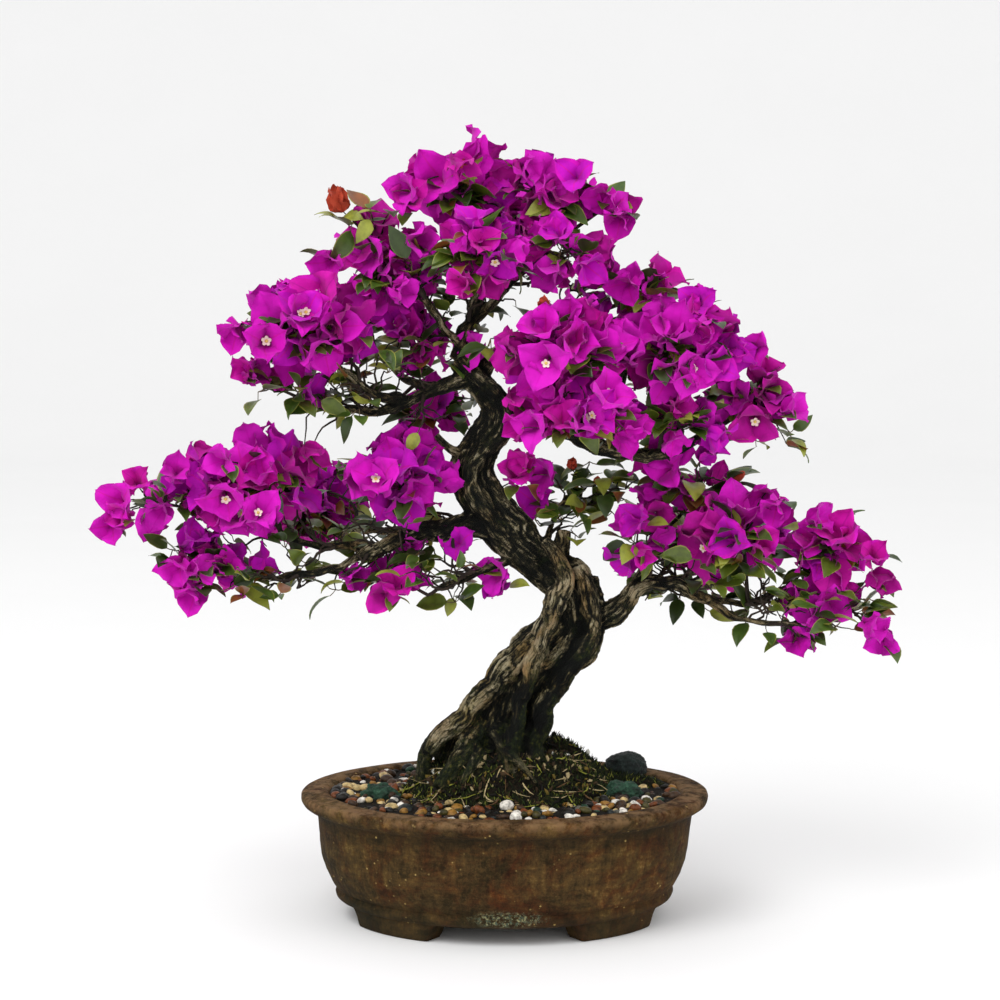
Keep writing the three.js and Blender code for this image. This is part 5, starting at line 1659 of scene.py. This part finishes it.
def grow_accents(limbs, growth, masses, stage):
    """The heads, stars, buds and leaves that have a place of their own."""
    rng = np.random.default_rng(5)
    lines = [*limbs.values(), *(stem_of(mass, limbs) for mass in MASSES)]
    points = np.vstack([line.path for line in lines])
    centres = {mass: place(MASSES[mass][2]) for mass in MASSES}
    for kind, places in ACCENTS.items():
        for across, up, *size in places:
            spot = front_place(across, up, stage)
            owner = min(centres, key=lambda mass: np.linalg.norm(centres[mass] - spot))
            if owner not in masses:
                continue
            root = points[np.linalg.norm(points - spot, axis=1).argmin()]
            growth.twig(winding(root, spot, rng, 0.0012), (0.9, 0.45))
            face = unit(np.array([0.38 * rng.normal(), -1, 0.22 + 0.34 * rng.normal()]))
            if kind == "head":
                growth.head(spot, unit(face + rng.normal(0, 0.4, 3)), rng, 0.78, 0.2, False)
                growth.leaf(spot, np.array([rng.normal(), -0.3, -0.4]), rng, 0.8)
            elif kind == "star":
                growth.head(spot, face, rng, 1.0, 0, True)
            elif kind == "bud":
                way = unit(np.array([0.3 * rng.normal(), -0.3, 1]))
                growth.head(spot, way, rng, 0.72 * size[0], 0, False, young=True)
                growth.head(spot, unit(way + rng.normal(0, 0.25, 3)), rng, 0.6 * size[0], 0,
                            False, young=True)
                for _ in range(3):
                    growth.leaf(spot - [0, 0, 0.004], rng.normal(size=3), rng, 0.7 * size[0], 3)
            else:
                for _ in range(3):
                    growth.leaf(spot, unit(rng.normal(size=3) + [0, -0.3, -0.3]), rng, 0.95)


def grow_mass(name, limbs, growth, stage):
    """Fill one mass's own space with sprays from its stem."""
    centre, radii, bloom = MASSES[name][2:]
    centre, radii = place(centre), np.array(radii, float) * MM
    low, high = (np.array(corner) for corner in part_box(name))
    rng = np.random.default_rng(1 + list(MASSES).index(name))
    stem = stem_of(name, limbs)
    growth.twig(stem.path[::3], (stem.radii[0] / MM, stem.radii[-1] / MM))
    outline = math.pi * (radii[0] * radii[2] + radii[0] * radii[1] + radii[1] * radii[2]) / 3
    count = int(round(growth.sizes.heads * outline * 100 * SPARSE.get(name, 1)))
    start = rng.uniform(0, 2 * math.pi)
    fit = float(np.clip(radii.min() / FULL_MASS, 0.8, 1.04))
    inset = growth.sizes.bract_length * 0.72 * fit
    for k in range(count):
        aim = unit(spread(k, start) + rng.normal(0, 0.16, 3))
        depth = 1.0 if k < 6 else rng.uniform(0.35, 1.0) ** 0.4
        edge = np.minimum(inset * np.array([0.8, 1.2, 0.8]), 0.45 * (high - low))
        for share in (1, 0.88, 0.76, 0.62, 0.46):
            tip = centre + aim * np.maximum(radii - inset, 0.004) * depth * share
            tip = np.clip(tip, low + edge, high - edge)
            end = tip + aim * growth.sizes.bract_length * 0.7 * fit
            free = not in_sky((tip, end), stage) and clear_of(tip, limbs)
            free = free and not past_edge(tip, 0.74 * growth.sizes.bract_length * fit, stage)
            if free:
                break
        if not free:
            continue
        forks = [stem.at(share + 0.04 * rng.random()) for share in (0.45, 0.6, 0.75, 0.9)]
        begin = min(forks, key=lambda fork: float(np.linalg.norm(fork - tip)))
        face = unit(aim / radii * radii.mean())
        face = unit(face + rng.normal(0, 0.42, 3) + np.array([0, -0.05, 0.2]))
        blossom = rng.random() < bloom * (1 if aim[2] > -0.45 else 0.45)
        shade = (1 - depth) * 2 + max(0.0, -aim[2]) * 0.35
        growth.spray(begin, tip, face, rng, blossom, shade, (0.95, 0.45), fit)


def hides_trunk(points, trunk, stage):
    """Whether one of some points would stand before the trunk, seen from the front."""
    middle = np.array([from_front(point, stage) for point in trunk.path])
    for point in points:
        gap = np.linalg.norm(middle - from_front(point, stage), axis=1)
        nearest = gap.argmin()
        if gap[nearest] * MM < 1.15 * trunk.radii[nearest] and point[1] < trunk.path[nearest][1]:
            return True
    return False


def crooked(root, way, rng, steps, stride):
    """A line that wanders on from its root with the knees of old wood."""
    line, first = [root], way
    for _ in range(steps):
        way = unit(0.75 * way + 0.25 * first + rng.normal(0, 0.3, 3))
        line.append(line[-1] + way * stride * rng.uniform(0.6, 1.4))
    low, high = np.array(CAD_BOX)
    return np.clip(line, low + BRANCHLET_ROOM, high - BRANCHLET_ROOM)


def places_on_boughs(limbs, rng, count, low, high):
    """Random places on the boughs: point, way ahead and radius."""
    boughs = list(limbs.values())[1:]
    lengths = np.array([bough.along[-1] for bough in boughs])
    for _ in range(count):
        bough = boughs[rng.choice(len(boughs), p=lengths / lengths.sum())]
        share = rng.uniform(low, high)
        yield bough.at(share), bough.heading(share), bough.radius(share)


def grow_branchlets(limbs, growth, count, stage):
    """Crooked, forking branchlets along the boughs, bare or with a few leaves."""
    rng = np.random.default_rng(61)
    for root, ahead, radius in places_on_boughs(limbs, rng, count, 0.25, 1.0):
        out = unit(np.cross(ahead, rng.normal(size=3)) * (0.9, 0.7, 0.7) + ahead * 0.9)
        line = crooked(root, out, rng, rng.integers(6, 13), 0.0055)
        if in_sky(line[3:], stage) or hides_trunk(line[3:], limbs["trunk"], stage):
            continue
        growth.twig(line, (min(1.9, 0.6 * radius / MM), 0.55))
        for i in range(2, len(line)):
            if rng.random() > 0.6:
                continue
            on = unit(line[i] - line[i - 1])
            way = unit(np.cross(on, rng.normal(size=3)) + 0.5 * on)
            twig = crooked(line[i], way, rng, rng.integers(2, 5), 0.0048)
            if in_sky(twig[1:], stage) or hides_trunk(twig[1:], limbs["trunk"], stage):
                continue
            growth.twig(twig, (0.85, 0.4))
            for _ in range(rng.choice((0, 1, 2), p=(0.4, 0.35, 0.25))):
                growth.leaf(twig[-1], unit(way + rng.normal(0, 0.5, 3)), rng, 0.8)


def grow_spurs(limbs, growth, count, stage):
    """Short bare twigs and a few leaves on the boughs between the masses."""
    rng = np.random.default_rng(77)
    for middle, ahead, radius in places_on_boughs(limbs, rng, count, 0.2, 0.98):
        out = unit(np.cross(ahead, rng.normal(size=3)) + ahead * 0.7 + np.array([0, 0, 0.4]))
        root = middle + out * radius * 0.6
        tip = root + out * rng.uniform(0.012, 0.034)
        if in_sky((tip,), stage) or hides_trunk((tip,), limbs["trunk"], stage):
            continue
        growth.twig(winding(root, tip, rng, 0.0014), (1.1, 0.5))
        if rng.random() < 0.75:
            for _ in range(rng.integers(1, 4)):
                growth.leaf(tip, unit(out + rng.normal(0, 0.5, 3)), rng, 0.85)


# A star flower: its radius in metres, lobes and sides, and the reach and lift of its rings.
STAR = {"radius": 0.0038, "lobes": 5, "sides": 20,
        "petals": ((0, 0), (0.4, 0.02), (0.8, 0.1), (1, 0.3)),
        "eye": ((0.34, 0.05), (0.3, 0.22), (0.02, 0.3))}


def star_points(flowers):
    """White five-lobed flowers, cupped round a cream eye, and the eyes themselves."""
    turn = np.arange(STAR["sides"]) / STAR["sides"] * 2 * math.pi
    reach = 0.68 + 0.32 * np.abs(np.cos(turn * STAR["lobes"] / 2))
    points, eyes = [], []
    for root, face, size in flowers:
        side = unit(np.cross(face, [0.3, 0.5, 0.8]))
        other = np.cross(face, side)
        radius = STAR["radius"] * size
        ring = np.cos(turn)[:, None] * side + np.sin(turn)[:, None] * other
        for share, lift in STAR["petals"]:
            lobes = reach if share > 0.4 else np.ones_like(reach)
            points.append(root + ring * (radius * share * lobes)[:, None] + face * radius * lift)
        for share, lift in STAR["eye"]:
            eyes.append(root + ring * radius * share + face * radius * lift)
    return [(np.vstack(rings), grid_faces(len(flowers), len(STAR[part]), len(turn), closed=True))
            for rings, part in ((points, "petals"), (eyes, "eye"))]


class BONSAI_OT_foliage(bpy.types.Operator):
    """Grow twigs, leaves, bracts, flowers and buds in every mass"""

    bl_idname = "bonsai.make_foliage"
    bl_label = "Foliage"

    def execute(self, context):
        sizes, colors = context.scene.bonsai_foliage, context.scene.bonsai_colors
        stage = context.scene.bonsai_stage
        limbs = make_limbs()
        bract, leaf = np.array(colors.bract), np.array(colors.leaf)
        bracts = [papery_finish("bract_" + name, bract * share)
                  for name, share in BRACT_TINTS.items()]
        bracts.append(papery_finish("bract_young", YOUNG_BRACT))
        leaf_tints = {name: leaf * share for name, share in LEAF_TINTS.items()} | YOUNG_LEAVES
        leaves = [leaf_finish("leaf_" + name, color) for name, color in leaf_tints.items()]
        twig, stalk = twig_finish(), leaf_finish("green_stalk", srgb(92, 74, 40))
        stars = [("stars_", papery_finish("star_white", srgb(240, 222, 212))),
                 ("star_eyes_", papery_finish("star_eye", srgb(222, 198, 104)))]
        bud = papery_finish("bud_red", srgb(168, 58, 40))
        for order, (tier, masses) in enumerate(TIERS.items()):
            rng = np.random.default_rng(41 + order)
            growth = Growth(sizes)
            for name in masses:
                grow_mass(name, limbs, growth, stage)
            grow_accents(limbs, growth, masses, stage)
            if tier == "left":
                grow_spurs(limbs, growth, sizes.spurs, stage)
                grow_branchlets(limbs, growth, sizes.branchlets, stage)
            if not growth.bracts or not growth.leaves:
                raise RuntimeError(f"Nothing grew in the tier {tier}")
            self.twigs(tier, growth, twig, stalk)
            piece = self.blades("bracts_" + tier, BRACT, growth.bracts, bracts, rng,
                                BRACT_RIB_SHADE, BRACT_RIM_SHEEN)
            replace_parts(piece, *masses)
            self.blades("leaves_" + tier, LEAF, growth.leaves, leaves, rng, LEAF_RIMS, LEAF_RIMS)
            if growth.flowers:
                for (name, finish), shape in zip(stars, star_points(growth.flowers)):
                    new_piece(name + tier, *shape, [finish], "blossom")
            if growth.buds:
                self.buds(tier, growth.buds, bud)
        return {"FINISHED"}

    def twigs(self, tier, growth, twig, stalk):
        """Twigs and the thin stalks of leaves and heads."""
        by_steps = {}
        for line, radii in growth.twigs:
            by_steps.setdefault(len(line), []).append((line, radii))
        points, faces, start = [], [], 0
        for group in by_steps.values():
            part, part_faces = tubes([line for line, _ in group], [radii for _, radii in group], 5)
            points.append(part)
            faces.append(part_faces + start)
            start += len(part)
        new_piece("twigs_" + tier, np.vstack(points), np.vstack(faces), [twig], "bark")
        ends = np.array(growth.stalks)
        middle = ends.mean(1) + np.array([0, 0, -0.0004])
        paths = np.stack([ends[:, 0], middle, ends[:, 1]], 1)
        points, faces = tubes(paths, np.full((len(paths), 3), 0.00042), 4)
        new_piece("stalks_" + tier, points, faces, [stalk], "bark")

    def blades(self, name, shape, grown, finishes, rng, rib_tints, rim_tints):
        """All leaves or bracts of a tier as one piece, with ribs and rims in tints of their own."""
        *places, tints = (np.array(column) for column in zip(*grown))
        points, faces = blades(shape, *places, rng)
        per, across = len(faces) // len(grown), len(shape["columns"]) - 1
        tints = np.repeat(tints, per)
        face_in = np.arange(len(faces)) % per
        # On bracts the rib and root faces take a darker tint, painted shade in the crease and
        # throat, and the rims a lighter one, painted sheen.
        at_root = (face_in < across) & bool(shape["ribs"])
        ribs = np.isin(face_in % across, shape["ribs"]) | at_root
        rims = np.isin(face_in % across, shape["rims"])
        rims &= np.repeat(rng.random(len(grown)) < shape["rimmed"], per)
        tints = np.where(rims, np.array(rim_tints)[tints], tints)
        tints = np.where(ribs, np.array(rib_tints)[tints], tints)
        return new_piece(name, points, faces, finishes, "blossom", tints)

    def buds(self, tier, buds, finish):
        """Closed red buds at twig ends."""
        points, faces = ball(2)
        places = np.array([root + way * 0.006 * size for root, way, size in buds])
        turns = []
        for _, way, _ in buds:
            side = unit(np.cross(way, [0.4, 0.3, 0.2]))
            turns.append(np.stack([side, np.cross(way, side), way], -1))
        sizes = np.array([size for *_, size in buds])[:, None]
        points, faces = many(points, faces, places, [[0.0036, 0.0036, 0.0065]] * sizes,
                             np.array(turns))
        new_piece("buds_" + tier, points, faces, [finish], "blossom")


# Stage


# The backdrop's half width, where its floor starts and bends up, the bend's radius, and its top.
BACKDROP = {"half": 9, "start": -6, "bend": 4, "radius": 2.5, "top": 9}
# Lights: place, size and power. They face a point amid the crown.
LIGHTS = {"key_light": ((-1.1, -1.5, 2.3), 1.6, 34), "fill_light": ((1.9, -1.3, 1.2), 1.8, 9)}
LIT = (0, 0, 0.32)
SKY_STRENGTH = 0.95


class BONSAI_OT_stage(bpy.types.Operator):
    """Set up the pale floor and wall, the soft lights and the camera"""

    bl_idname = "bonsai.make_stage"
    bl_label = "Stage"

    def execute(self, context):
        scene, sizes = context.scene, context.scene.bonsai_stage
        self.shown(scene, bpy.data.objects.new("backdrop", self.backdrop(sizes)))
        world = bpy.data.worlds.new("studio")
        world.use_nodes = True
        sky = next(n for n in world.node_tree.nodes if n.type == "BACKGROUND")
        sky.inputs["Color"].default_value = (1, 1, 1, 1)
        sky.inputs["Strength"].default_value = SKY_STRENGTH
        scene.world = world
        for name, (spot, size, energy) in LIGHTS.items():
            light = bpy.data.lights.new(name, "AREA")
            light.size, light.energy = size, energy
            lamp = self.shown(scene, bpy.data.objects.new(name, light))
            lamp.location = spot
            way = Vector(LIT) - Vector(spot)
            lamp.rotation_euler = way.to_track_quat("-Z", "Y").to_euler()
        camera = bpy.data.cameras.new("camera")
        camera.lens, camera.sensor_width = sizes.lens, 36
        eye = self.shown(scene, bpy.data.objects.new("camera", camera))
        eye.location = SEAT + np.array([sizes.aside, -sizes.distance, sizes.height])
        eye.rotation_euler = (math.pi / 2 - sizes.pitch, 0, 0)
        scene.camera = eye
        scene.view_settings.view_transform = "Standard"
        return {"FINISHED"}

    def shown(self, scene, thing):
        scene.collection.objects.link(thing)
        return thing

    def backdrop(self, sizes):
        """A pale floor that bends up to a wall."""
        tone = tuple(sizes.backdrop)
        finish = Finish("pale_backdrop", tone, 0.9, 0.1)
        finish.color(finish.ramp(finish.noise(3, 2), [
            (0.3, tuple(0.99 * c for c in tone)), (0.7, tone)]))
        bend, radius = BACKDROP["bend"], BACKDROP["radius"]
        profile = [(BACKDROP["start"], 0), (bend, 0)]
        for k in range(1, 13):
            angle = math.radians(90 * k / 12)
            profile.append((bend + radius * math.sin(angle), radius * (1 - math.cos(angle))))
        profile.append((bend + radius, BACKDROP["top"]))
        mesh = bpy.data.meshes.new("backdrop")
        mesh.from_pydata([(x, y, CAD_BOX[0][2] + z) for y, z in profile
                          for x in (-BACKDROP["half"], BACKDROP["half"])], [],
                         grid_faces(1, len(profile), 2).tolist())
        mesh.polygons.foreach_set("use_smooth", np.ones(len(mesh.polygons), bool))
        mesh.materials.append(finish.material)
        return mesh


# Panel and registration


class BONSAI_PT_panel(bpy.types.Panel):
    """Pieces and sizes of the bonsai"""

    bl_label = "Bougainvillea Bonsai"
    bl_idname = "BONSAI_PT_panel"
    bl_space_type = "VIEW_3D"
    bl_region_type = "UI"
    bl_category = "Bonsai"

    def draw(self, context):
        layout = self.layout
        for group in ("pot", "ground", "bark", "foliage", "colors", "stage"):
            sizes = getattr(context.scene, "bonsai_" + group)
            box = layout.box()
            box.label(text=group.capitalize())
            for name in sizes.__annotations__:
                box.prop(sizes, name)
        for operator in STEPS:
            layout.operator(operator.bl_idname)


STEPS = (BONSAI_OT_stage, BONSAI_OT_pot, BONSAI_OT_ground, BONSAI_OT_mound, BONSAI_OT_rocks,
         BONSAI_OT_limbs, BONSAI_OT_foliage)
GROUPS = {
    "pot": BONSAI_PG_pot, "ground": BONSAI_PG_ground, "bark": BONSAI_PG_bark,
    "foliage": BONSAI_PG_foliage, "colors": BONSAI_PG_colors, "stage": BONSAI_PG_stage,
}
CLASSES = (*GROUPS.values(), *STEPS, BONSAI_PT_panel)


def register():
    for cls in CLASSES:
        bpy.utils.register_class(cls)
    for name, group in GROUPS.items():
        setattr(bpy.types.Scene, "bonsai_" + name, PointerProperty(type=group))


def unregister():
    for name in GROUPS:
        delattr(bpy.types.Scene, "bonsai_" + name)
    for cls in reversed(CLASSES):
        bpy.utils.unregister_class(cls)


def main():
    register()
    for operator in STEPS:
        getattr(bpy.ops.bonsai, operator.bl_idname.split(".")[1])()


if __name__ == "__main__":
    main()
